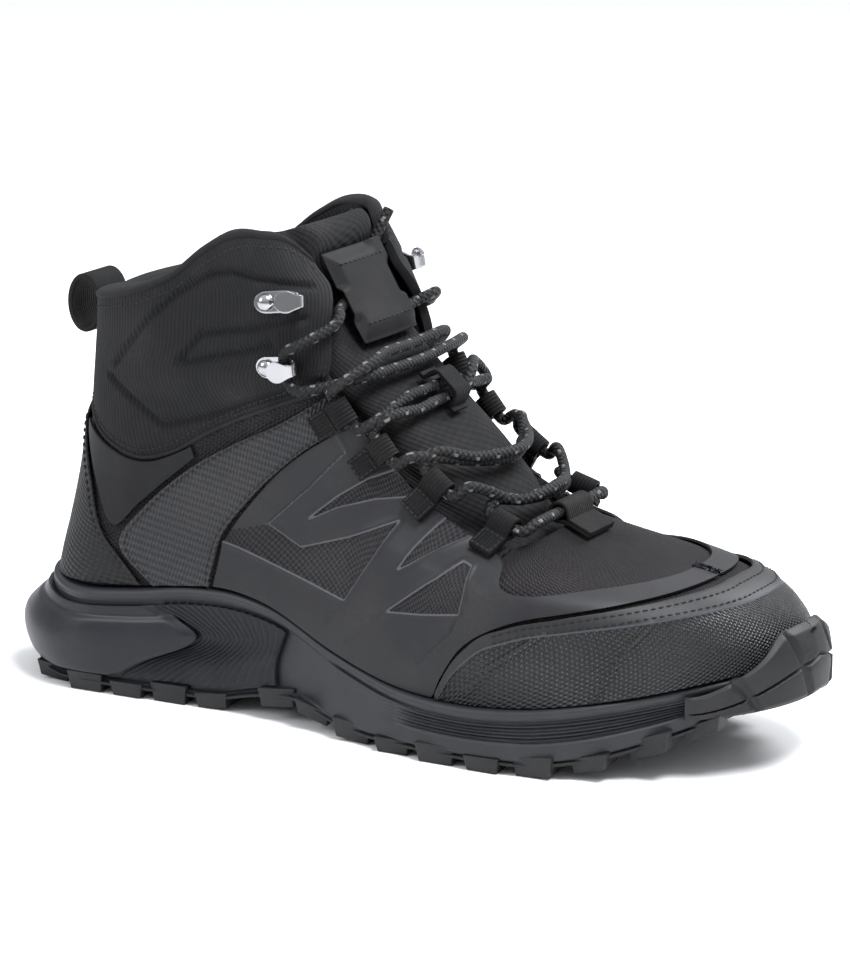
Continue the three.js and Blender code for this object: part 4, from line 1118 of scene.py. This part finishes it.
heel_cap_edge = curve([[38, -83], [47, -92.5], [55.5, -101.5], [73, -109], [90, -114.4], [104, -118]])
OVERLAY_OUT = 1.9
FILM_GAP = 0.004
LINING_OUT = -3.6
CLOTH_THICKNESS = 3.0
LINING_THICKNESS = 1.3
FILM_THICKNESS = 0.9


def over_rim(x, z):
    return np.maximum(z, sole_top(x) + 1)


def between(low, high, side, front=0.0):
    """A place function between two side-view paths."""
    def place(u, v):
        low_x, low_z = low(u)
        high_x, high_z = high(u)
        z = mix(over_rim(low_x, low_z), over_rim(high_x, high_z), v)
        return side * np.maximum(way_round(mix(low_x, high_x, v), z), front), z
    return place


def quarter_place(side):
    def place(u, v):
        low_x, _ = quarter_low(u)
        high_x, high_z = quarter_high(u)
        z = mix(sole_top(low_x) + SEAM_GAP + 0.2, high_z, v)
        first = mix(quarter_low(0.0)[0], quarter_high(0.0)[0], v)
        bow = (vamp_seam(z) - 0.7 - first) * (1 - u) ** 4
        return side * np.minimum(way_round(mix(low_x, high_x, v) + bow, z), 0.997), z
    return place


def toe_cap_place(u, v):
    s = mix(-1, 1, u) * float(way_round(41, 26))
    return s, mix(feather(s) + 0.6, toe_cap_top(np.abs(s)) - 0.5, v)


def heel_cap_place(u, v):
    across = mix(-1, 1, u)
    high = mix(101.8, 95, smooth(0.3, 1, np.abs(across)))
    z = mix(over_rim(mix(-134, -84, np.abs(across)), 38), high, v)
    return 1 - across * (1 - way_round(heel_cap_edge(z), z)), z


def collar_place(low, high):
    def place(u, v):
        z = COLLAR_GUESS + 0 * u
        for _ in range(10):
            front = way_round(throat_edge(z), z)
            s = mix(front, 2 - front, u)
            way = np.where(s > 1, 2 - s, s)
            z = mix(low(way), high(way), v)
        return s, z
    return place


def film_relief(side):
    """The film's height off the skin: low over the cloth windows, with a rim and engraved lines."""
    def out(base, u, v):
        edge = film_edge(base, side)
        rise = mix(1.05, OVERLAY_OUT - 0.25, smooth(-0.4, 0.3, edge))
        rim = 0.3 * np.exp(-((edge - 0.9) / 0.7) ** 2)
        lines = sum(groove(distance(base, straight(list(route), side)), 1.6, 0.45) for route in engraved)
        return rise + rim + lines * smooth(0, 1.0, edge)
    return out


def film_edge(base, side):
    """How far each point is from the edge of the nearest cloth window, below 0 inside one."""
    nearest = np.full(len(base), 1e9)
    hole = np.zeros(len(base), bool)
    for outline in film_openings:
        nearest = np.minimum(nearest, distance(base, straight(outline, side, closed=True)))
        hole |= inside(base, outline)
    return np.where(hole, -nearest, nearest)


SMOOTH_PATCH = [(-66, 60), (-34, 69), (-17, 84), (-2, 98.5), (-4, 112), (-44, 96)]


def film_mask(base, side):
    """The film's edge for its material, with the smooth cloth between the band and the strokes."""
    edge = film_edge(base, side)
    return np.where(inside(base, SMOOTH_PATCH), np.abs(edge) + 1.0, edge)


def band_out(base, u, v):
    return OVERLAY_OUT + 0.5 * (1 - smooth(0, 0.1, v) * smooth(1, 0.9, v))


def wall_with_lining(name, ending, place):
    """A cloth wall of the upper and the lining behind it."""
    rows = 60 if name == "vamp" else 50
    cloth = panel(f"{name}_cloth{ending}", place, 130, rows, 0.0, CLOTH_THICKNESS)
    dress(cloth, looks["cloth"], stands_for=[f"{name}{ending}"])
    lining = panel(f"{name}_lining{ending}", place, 60, 24, LINING_OUT, LINING_THICKNESS)
    dress(lining, looks["lining"], stands_for=[f"lining_{name}{ending}"])


def build_quarters():
    wall_with_lining("vamp", "", vamp_place)
    for label, side in SIDES.items():
        wall_with_lining("quarter", f"_{label}", quarter_place(side))
        film_place = between(film_low, film_high, side, FILM_GAP)
        film = panel(f"film_strokes_{label}", film_place, 330, 96, film_relief(side), FILM_THICKNESS,
                     lambda base, u, v: {"film_edge": film_mask(base, side)}, 0.2)
        dress(film, looks["film"], stands_for=[f"film_{label}"])
        band = panel(f"band_{label}", between(band_low, band_high, side), 110, 40, band_out, 1.0)
        side_uv(band)
        dress(band, looks["woven"], stands_for=[f"midfoot_band_{label}"])
        cover = panel(f"cover_{label}", between(cover_low, cover_high, side), 60, 20, OVERLAY_OUT - 0.3,
                      FILM_THICKNESS)
        dress(cover, looks["smooth_film"], stands_for=[f"heel_cover_{label}"])


CAP_BORDER = 4.8
CAP_RIBS = [
    [(53, 27), (62, 36.5), (71, 43), (79, 48)],
    [(95, 28.6), (101, 38), (105, 45), (110, 51.6)],
]


def cap_border(base, u, v):
    """How far inside the toe cap's smooth border each point lies."""
    s, _ = toe_cap_place(u, v)
    return CAP_BORDER - (toe_cap_top(np.abs(s)) - base[:, 2])


def cap_out(base, u, v):
    """The toe cap: a raised smooth border and two faint moulded ribs on each side."""
    edge = 0.55 * smooth(-0.3, 0.5, cap_border(base, u, v))
    ribs = 0 * v
    for route in CAP_RIBS:
        for side in (OUTER, INNER):
            ribs = ribs + 0.7 * (1 - smooth(0, 1.6, distance(base, straight(route, side))))
    return 2.0 + edge + ribs


def heel_out(base, u, v):
    return OVERLAY_OUT + 0.35 * (1 - smooth(0, 0.03, u) * smooth(1, 0.97, u))


def build_caps():
    cap = panel("toe_cap_shell", toe_cap_place, 260, 64, cap_out, 1.2,
                lambda base, u, v: {"border": cap_border(base, u, v)})
    dress(cap, looks["toe_cap"], stands_for=["toe_cap"])
    heel = panel("heel_cap_shell", heel_cap_place, 120, 50, heel_out, 0.8)
    dress(heel, looks["heel_cap"], stands_for=["heel_cap"])


CUFF_SWELL = 1.6
CUFF_LINE_WIDTH, CUFF_LINE_DEPTH = 4.4, 1.7
cuff_lines = [
    [(-94, 119), (-78, 136), (-65, 147), (-51, 155), (-43, 157), (-19, 152)],
    [(-97, 114), (-85, 106), (-76, 99), (-58, 104), (-35, 113), (-11, 121.5)],
    [(-66.5, 123), (-56, 134), (-18, 142)],
    [(-64.5, 123), (-28, 133)],
]


def cuff_out(base, u, v):
    """The cuff: padding between its seams, and embossed lines on both sides."""
    swell = CUFF_SWELL * np.sin(np.pi * np.clip(v, 0, 1)) ** 0.6
    lines = 0 * v
    for route in cuff_lines:
        for side in (OUTER, INNER):
            lines = lines + groove(distance(base, straight(route, side)), CUFF_LINE_WIDTH, CUFF_LINE_DEPTH)
    return 0.1 + swell + lines


THIN_PAD, THICK_PAD = -5.0, -9.5


def pad_depth(s, z):
    """How deep inside the skin the padding's inner face lies: thin by the throat, thick further back."""
    way = np.where(s > 1, 2 - s, s)
    front = way_round(throat_edge(z), z)
    return mix(THIN_PAD, THICK_PAD, smooth(0.09, 0.24, way - front))


def closed_wrap(name, place, columns, turns, section):
    """A closed padded ring: section(turn) gives how far up each point of its round lies, and its depth."""
    piece, u, v = grid(name, columns, turns)
    rise, out = section(2 * np.pi * v)
    s, z = place(u, rise)
    lay(piece, on_skin(s, z, out(s, z)))
    size_uv(piece, 320, 60)
    edit_mesh(piece, join_seam, close_ends, turn_out)
    return piece


PUFF_FRAMES = 20


def puff(piece, cap):
    """Lets air pressure settle a closed padded shell, each point moving no further than the cap."""
    start = coordinates(piece)
    activate(piece)
    cloth = piece.modifiers.new("padding", "CLOTH")
    cloth.settings.use_pressure = True
    cloth.settings.uniform_pressure_force = 4
    cloth.settings.effector_weights.gravity = 0
    cloth.settings.tension_stiffness = 40
    cloth.settings.bending_stiffness = 2
    cloth.point_cache.frame_start = 1
    cloth.point_cache.frame_end = PUFF_FRAMES
    for frame_number in range(1, PUFF_FRAMES + 1):
        scene.frame_set(frame_number)
    seen = piece.evaluated_get(bpy.context.evaluated_depsgraph_get())
    flat = np.empty(len(seen.data.vertices) * 3)
    seen.data.vertices.foreach_get("co", flat)
    move = flat.reshape(-1, 3) - start
    length = np.linalg.norm(move, axis=1, keepdims=True)
    move *= np.minimum(1, cap * MM / np.maximum(length, 1e-9))
    piece.modifiers.remove(cloth)
    scene.frame_set(1)
    piece.data.vertices.foreach_set("co", (start + move).ravel())
    piece.data.update()


def soften(piece):
    rounder = piece.modifiers.new("round", "SUBSURF")
    rounder.levels = 1
    apply_modifiers(piece)
    smooth_faces(piece, 60)


def above(heights, lift):
    """A line of heights raised by this much."""
    return lambda way: heights(way) + lift


def wrap_section(fullness, face, spare):
    """A padded ring's round: from its face in to the padding's depth, less a little. Over 1 it is squarer."""
    def section(turn):
        rise = 0.5 + 0.5 * np.clip(np.cos(turn) * fullness, -1, 1)
        share = 0.5 + 0.5 * np.clip(np.sin(turn) * fullness, -1, 1)
        return rise, lambda s, z: mix(face, pad_depth(s, z) + spare, share)
    return section


def build_collar():
    cuff_place = collar_place(above(collar_seam, 0.3), collar_top)
    cuff = panel("cuff_cloth", cuff_place, 300, 66, cuff_out, 3.2, edge=0.6)
    dress(cuff, looks["cuff"], stands_for=["cuff"])

    pad_place = collar_place(above(collar_seam, 0.3), above(collar_top, -0.2))
    padding = closed_wrap("collar_pad", pad_place, 120, 28, wrap_section(1.15, -3.5, 1.2))
    puff(padding, 1.4)
    soften(padding)
    dress(padding, looks["lining"], stands_for=["collar_padding"])

    seam_place = collar_place(above(collar_seam, -0.2), collar_top)
    seam, _ = row_on(lambda t: seam_place(t, 0 * t), 0.0, (0.005, 0.995), 120)
    dress(tube("cuff_seam_cord", seam, 0.9, 10, 1.2), looks["binding"])

    edge_place = collar_place(above(collar_top, -1.6), above(collar_top, 2.3))
    binding = closed_wrap("collar_edge", edge_place, 200, 24, wrap_section(1.0, 1.0, 1.0))
    soften(binding)
    dress(binding, looks["binding"], stands_for=["collar_binding"])


# ---- tongue ----
# The tongue's middle and its thickness by height, off the skin.
tongue_middle = curve([[70, -6], [77, -6], [85, -3.2], [124, -3], [131, -4], [138, -6], [160, -6],
                       [166, -0.6], [173, -1]])
TONGUE_FOOT, TONGUE_TOP = 71.5, 173
tongue_thick = curve([[71, 3.9], [131, 4], [140, 4.5], [158, 4.5], [164, 9], [169, 9], [173, 6]])


def tongue_face(s, z):
    across = np.abs(s) / way_round(throat_edge(z), z)
    return mix(tongue_middle(z), -6, smooth(0.55, 0.98, across))


def build_tongue():
    """One padded piece from the throat's foot to the rolled top, closed all round."""
    piece, u, v = grid("tongue_pad", 44, 84)
    across = np.sin(mix(-1, 1, u) * np.pi / 2)
    half = np.where(v <= 0.5, 1, -1)
    climb = np.where(v <= 0.5, v * 2, 2 - v * 2)
    z = mix(TONGUE_FOOT, TONGUE_TOP, climb)
    s = across * (way_round(throat_edge(z), z) + 0.02)
    face = tongue_face(s, z)
    side_round = np.sqrt(np.clip(1 - np.abs(across) ** 8, 0, 1))
    top_round = np.sqrt(np.clip(1 - np.clip((climb - 0.955) / 0.045, 0, 1) ** 2, 0, 1))
    deep = tongue_thick(z) * side_round * top_round
    centre = face - tongue_thick(z) / 2
    lay(piece, on_skin(s, z, centre + half * deep / 2))
    size_uv(piece, 70, 220)
    weld(piece)
    puff(piece, 1.2)
    soften(piece)
    dress_blend(piece, looks["tongue"], ["tongue_lower", "tongue_upper"])


def dress_blend(piece, look, stands_for):
    """Dresses a piece that lies between the boot and the tongue: it is baked in place and attached to neither
    body.
    """
    piece.data.materials.clear()
    piece.data.materials.append(look)
    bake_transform(piece)
    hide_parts(*stands_for)


BADGE_FOOT, BADGE_HEIGHT, BADGE_WIDTH = 132.5, 29, 37
# Heights at which lace ends pass under the badge's sides.
OUTER_LACE_Z, INNER_LACE_Z, TOP_LACE_Z = 145, 138.5, 159


def badge_place(u, v):
    z = mix(BADGE_FOOT, BADGE_FOOT + BADGE_HEIGHT, v)
    return way_across(mix(-BADGE_WIDTH / 2, BADGE_WIDTH / 2, u), z), z


def badge_out(base, u, v):
    """The badge's height off the skin: its border turns down to the tongue, but not over the lace's ends."""
    left, right = u * BADGE_WIDTH, (1 - u) * BADGE_WIDTH
    z = base[:, 2]
    foot, head, outer, inner = (1 - smooth(0, 5, edge) for edge in (
        v * BADGE_HEIGHT, (1 - v) * BADGE_HEIGHT, left, right))
    head = head * (1 - smooth(26, 31, left))
    outer = outer * smooth(3.5, 6, np.abs(z - OUTER_LACE_Z))
    inner = inner * smooth(3.5, 6, np.abs(z - INNER_LACE_Z)) * smooth(4, 7, np.abs(z - TOP_LACE_Z))
    return 0.2 - 0.6 * (np.abs(u - 0.5) * 2) ** 4 - 1.9 * np.max([foot, head, outer, inner], axis=0)


def build_badge():
    piece = panel("badge_plate", badge_place, 74, 58, badge_out, 0.9, edge=0.4)
    dress(piece, looks["badge"], "tongue", ["tongue_badge"])


# ---- webbing, hooks and laces ----
LACE_RADIUS = 1.9
EYE_OUT = 9.5
EYE_LIFT = 2.4
EYE_RADIUS = 2.7
WEBBING = 1.2
STRAP_WIDTH = 18


def unit(vector):
    return vector / np.linalg.norm(vector)


def frame_at(s, z, out, towards):
    """A turned frame on the skin: its origin, and its rows along, across and out of the skin."""
    normal = skin_normal(np.float64(s), np.float64(z))
    towards = np.array(towards, float)
    along = unit(towards - (towards @ normal) * normal)
    origin = on_skin(np.float64(s), np.float64(z), np.float64(out))
    return origin, np.array([along, np.cross(normal, along), normal])


loop_seats = [
    {"x": 50, "z": 70.5, "to": [2, 6, 4], "width": 9},
    {"x": 25, "z": 82.5, "to": [4, 5, 5], "width": 9},
    {"x": 5.5, "z": 95, "to": [6, 3.5, 5], "width": 8},
    {"x": -9, "z": 108, "to": [7, 3.5, 5], "width": 9},
]
hook_seats = [{"x": -25, "z": 126}, {"x": -25, "z": 148}]


def loop_frame(seat, side):
    towards = [seat["to"][0], -side * seat["to"][1], seat["to"][2]]
    return frame_at(side * way_round(seat["x"], seat["z"]), seat["z"], OVERLAY_OUT + 0.5, towards)


def hook_frame(seat, side):
    return frame_at(side * way_round(seat["x"], seat["z"]), seat["z"], 1.3, [1, 0, 0.12])


def throat_frame():
    return frame_at(0, 71.6, 1.1, [-1, 0, 0.4])


def placed(frame_of, points):
    origin, axes = frame_of
    return origin + np.asarray(points, float) @ axes


def arc(centre, radius, start, end, count):
    turns = np.linspace(start, end, count)
    return [(centre[0] + radius * math.cos(a), centre[1] + radius * math.sin(a)) for a in turns]


def strip(name, frame_of, profile, width, thickness, edge=0.25, closed=False):
    """A strap or plate bent along a profile of (along, lift), with a width for each share of its length."""
    route = np.array(profile, float)
    steps = np.concatenate([[0], np.cumsum(np.linalg.norm(np.diff(route, axis=0), axis=1))])
    columns = max(24, int(steps[-1] / 0.5))
    piece, u, v = grid(name, columns, 10)
    at = u * steps[-1]
    along, lift = (np.interp(at, steps, route[:, k]) for k in (0, 1))
    wide = width(u) if callable(width) else width + 0 * u
    lay(piece, placed(frame_of, np.stack([along, (v - 0.5) * wide, lift], -1)))
    size_uv(piece, steps[-1], float(np.max(wide)))
    if closed:
        weld(piece)
    thicken(piece, thickness, edge, offset=0)
    edit_mesh(piece, turn_out)
    smooth_faces(piece, 50)
    return piece


def eye_profile():
    half = WEBBING / 2
    return [(-4, half), (5.6, half), *arc((EYE_OUT, EYE_LIFT), EYE_RADIUS + half, -2.2, 2.6, 22),
            (5, 3 * half), (-4, 3 * half)]


hook_profile = [(-9, 0.5), (4.5, 0.5), *arc((4.5, 3.6), 3.1, -math.pi / 2, math.pi / 2, 14), (-1.5, 6.9)]


def hook_width(u):
    """A rounded rear end, a narrower neck, and a nose that narrows again."""
    rear = 7.4 * np.sqrt(np.clip(1 - np.clip((0.14 - u) / 0.14, 0, 1) ** 2, 0.04, 1))
    nose = mix(1.0, 0.56, smooth(0.34, 0.64, u) * (1 - smooth(0.7, 0.86, u)))
    tip = np.sqrt(np.clip(1 - np.clip((u - 0.88) / 0.12, 0, 1) ** 2, 0.16, 1))
    return rear * nose * tip


def build_loop(name, seat, frame_of, node_name):
    """A webbing loop. Returns its box of stitches as a row."""
    loop = strip(name, frame_of, eye_profile(), seat["width"], WEBBING)
    dress(loop, looks["webbing"], stands_for=[node_name])
    half = seat["width"] / 2 - 0.8
    corners = [(-3.4, -half), (3.6, -half), (3.6, half), (-3.4, half), (-3.4, -half)]
    route = placed(frame_of, [(a, b, 2.45) for a, b in corners])
    return route, np.tile(frame_of[1][2], (len(route), 1))


def build_hook(ending, frame_of):
    """A hook's bent plate and the domed rivet that holds it."""
    hook = strip(f"hook_plate_{ending}", frame_of, hook_profile, hook_width, 1.0, 0.3)
    dress(hook, looks["metal"], stands_for=[f"hook_{ending}"])
    deselect()
    bpy.ops.mesh.primitive_uv_sphere_add(segments=24, ring_count=16, radius=1)
    dome = bpy.context.object
    dome.name = f"rivet_dome_{ending}"
    lay(dome, placed(frame_of, coordinates(dome) * [3, 3, 2.1] + [-5, 0, 1.4]))
    smooth_faces(dome, 60)
    dress(dome, looks["metal"], stands_for=[f"rivet_{ending}"])


KEEPER_Z = 113.8
PULL_MIDDLE = (-125.2, 132.1)
PULL_REACH = (6.1, 9.6)
keeper_half = [(4, 6.3), (5.4, 5.8), (6.3, 3.5), (6.8, 0.6), (9, 0.6)]
keeper_profile = [(-along, lift) for along, lift in keeper_half[::-1]] + keeper_half


def build_keeper():
    frame_of = frame_at(0, KEEPER_Z, tongue_middle(KEEPER_Z) + 1.4, [-1, 0, 1])
    keeper = strip("keeper", frame_of, keeper_profile, 10, WEBBING)
    dress(keeper, looks["webbing"], stands_for=["lace_keeper"])


def build_pull_loop():
    turns = np.linspace(0, 2 * math.pi, 61)
    across, up = PULL_REACH
    oval = [(PULL_MIDDLE[0] + across * math.cos(a), PULL_MIDDLE[1] + up * math.sin(a)) for a in turns]
    side_view = (np.zeros(3), np.identity(3))
    pull = strip("pull_webbing", side_view, oval, STRAP_WIDTH, 1.8, 0.4, closed=True)
    dress(pull, looks["webbing"], "pull_loop", ["pull_loop"])


def build_trim():
    bars = []
    for label, side in SIDES.items():
        for i, seat in enumerate(loop_seats, 1):
            ending = f"{label}_{i}"
            bars.append(build_loop(f"loop_{ending}", seat, loop_frame(seat, side), f"lace_loop_{ending}"))
        for i, seat in enumerate(hook_seats, 1):
            build_hook(f"{label}_{i}", hook_frame(seat, side))
    stitches("bartacks", bars, pitch=2.0)
    strap = strip("throat_strap", throat_frame(), eye_profile(), STRAP_WIDTH, WEBBING)
    dress(strap, looks["webbing"], stands_for=["throat_loop"])
    build_keeper()
    build_pull_loop()


def through_loop(index, side, lift_below=0.0, lift_above=0.0):
    """The lace's way through a loop, turning in from the throat and out to it again."""
    seat = loop_seats[index]
    mouth = seat["width"] / 2
    points = [
        (6.5, -mouth - 3.8, lift_below), (1, -mouth - 2.9, lift_below / 3), (0, -mouth, 0),
        (0, mouth, 0), (1, mouth + 2.9, lift_above / 3), (6.5, mouth + 3.8, lift_above),
    ]
    turned = [(EYE_OUT + x, -side * y, EYE_LIFT + z) for x, y, z in points]
    return list(placed(loop_frame(seat, side), turned))


def round_hook(side):
    points = [(10, -7.4, 4.8), (6.4, -6.8, 4), (4.2, -4.2, 3.6), (4.2, 4.2, 3.6), (6.4, 6.8, 4), (10, 8, 4.8)]
    return list(placed(hook_frame(hook_seats[0], side), [(x, -side * y, z) for x, y, z in points]))


def through_throat():
    half = 10.5
    return list(placed(throat_frame(), [(EYE_OUT, y, EYE_LIFT) for y in (-half, 0, half)]))


def lace_route():
    return [
        on_front(26.8, 138.2, 0.2), on_front(30, 137.8, 6.2), on_front(33.4, 136, 5.6),
        *round_hook(INNER)[::-1],
        on_front(24, 126.8, 3.8), on_front(0, 127.8, 1.8), on_front(-20, 127.2, 4), on_front(-29, 124.4, 8),
        *through_loop(3, OUTER, -1, 2)[::-1],
        on_front(-21, 114.4, 2), on_front(-10, 115.2, 1.2), on_front(10, 115, 1.2), on_front(17, 112.8, 1.4),
        on_front(24, 110.6, 2.4),
        *through_loop(2, INNER, 0, -1.5)[::-1],
        on_front(18, 94, 4.4), on_front(0, 92.5, 5.8), on_front(-18, 94, 4.6),
        *through_loop(1, OUTER)[::-1],
        on_front(-17, 82, 2.8), on_front(0, 81.4, 1.4), on_front(16, 80.6, 3),
        *through_loop(0, INNER)[::-1],
        *through_throat(),
        *through_loop(0, OUTER),
        on_front(-16, 80.6, 5), on_front(0, 81.4, 6), on_front(17, 82, 4.6),
        *through_loop(1, INNER),
        on_front(18, 94, 2.4), on_front(0, 92.5, 1.3), on_front(-18, 94, 2.4),
        *through_loop(2, OUTER, 0, -1),
        on_front(-20, 110.4, 2), on_front(-10, 111.6, 1.2), on_front(9, 111.8, 1.3), on_front(16, 114.2, 5.6),
        on_front(24, 115.6, 6),
        *through_loop(3, INNER, 2, 0),
        on_front(24, 122.4, 3.4), on_front(0, 123, 1.4), on_front(-22, 122.6, 2), on_front(-31, 121.4, 4.4),
        *round_hook(OUTER),
        on_front(-33, 138.5, 5), on_front(-29.6, 141, 3.6), on_front(-26.4, 142.4, 0.2),
    ]


def outer_end():
    return [
        on_front(-25.9, 142.6, -0.4), on_front(-22, 144, -3.2), on_front(-12, 147.4, -3.6),
        on_front(2, 151.4, -3.6), on_front(14, 156.6, -3.8), on_front(19.6, 160.6, -3.4),
        on_front(22.2, 163.8, 0.4), on_front(24.4, 167.2, 4.6),
    ]


def inner_end():
    return [
        on_front(26.3, 138.3, -0.4), on_front(22, 138.6, -3.2), on_front(12, 139.4, -3.6),
        on_front(0, 140.4, -3.6), on_front(-8, 140.8, -3.6),
    ]


def build_laces():
    lace = tube("lace_cord", lace_route(), LACE_RADIUS)
    dress(lace, looks["lace"], stands_for=["lace"])
    for label, route in (("outer", outer_end()), ("inner", inner_end())):
        end = tube(f"lace_end_cord_{label}", route, LACE_RADIUS)
        dress_blend(end, looks["lace"], [f"lace_end_{label}"])


def cap_row(depth):
    def place(t):
        s, _ = toe_cap_place(t, 0 * t)
        return s, toe_cap_top(np.abs(s)) - depth
    return row_on(place, 2.65, (0.06, 0.94), 300)


def collar_row(low, high, share):
    """Stitches round the cuff, at this share of the way between two lines."""
    place = collar_place(low, high)
    return row_on(lambda t: place(t, share + 0 * t), 0.75, (0.01, 0.99), 400)


COLLAR_LENGTH = 300


def throat_row(side, inset):
    """Stitches up the cuff's front edge."""
    place = collar_place(above(collar_seam, 2), above(collar_top, -2))
    front_end = 0.0 if side > 0 else 1.0
    u = abs(front_end - inset / COLLAR_LENGTH)
    return row_on(lambda t: place(u + 0 * t, t), 0.9, (0.03, 0.97))


def heel_cap_row(side):
    def place(t):
        z = mix(42, 94, t)
        return side * way_round(heel_cap_edge(z) - 2.6, z), z
    return row_on(place, 2.2)


def build_stitches():
    rows = [cap_row(depth) for depth in (1.6, 3.6)]
    rows.append(collar_row(collar_seam, above(collar_top, -3.5), 1))
    rows.append(collar_row(above(collar_seam, 2.6), collar_top, 0))
    for side in (OUTER, INNER):
        band = between(band_low, band_high, side)
        for v in (0.05, 0.95):
            rows.append(row_on(lambda t: band(t, v + 0 * t), 2.2, (0.02, 0.97)))
        rows.extend(throat_row(side, inset) for inset in (2.2, 4.6))
        rows.append(heel_cap_row(side))
    stitches("seam_stitches", rows)
    marks = [row_on(lambda t: badge_place(t, v + 0 * t), 0.25, (0.1, 0.9)) for v in (0.17, 0.83)]
    stitches("badge_stitches", marks, "tongue")


# ---- building ----
for build in (
    build_midsole, build_outsole, build_wall_pieces, build_bumper, build_footbed, build_quarters, build_caps,
    build_collar, build_tongue, build_badge, build_trim, build_laces, build_stitches,
):
    build()
set_cad_look("lasting_board", looks["board"])

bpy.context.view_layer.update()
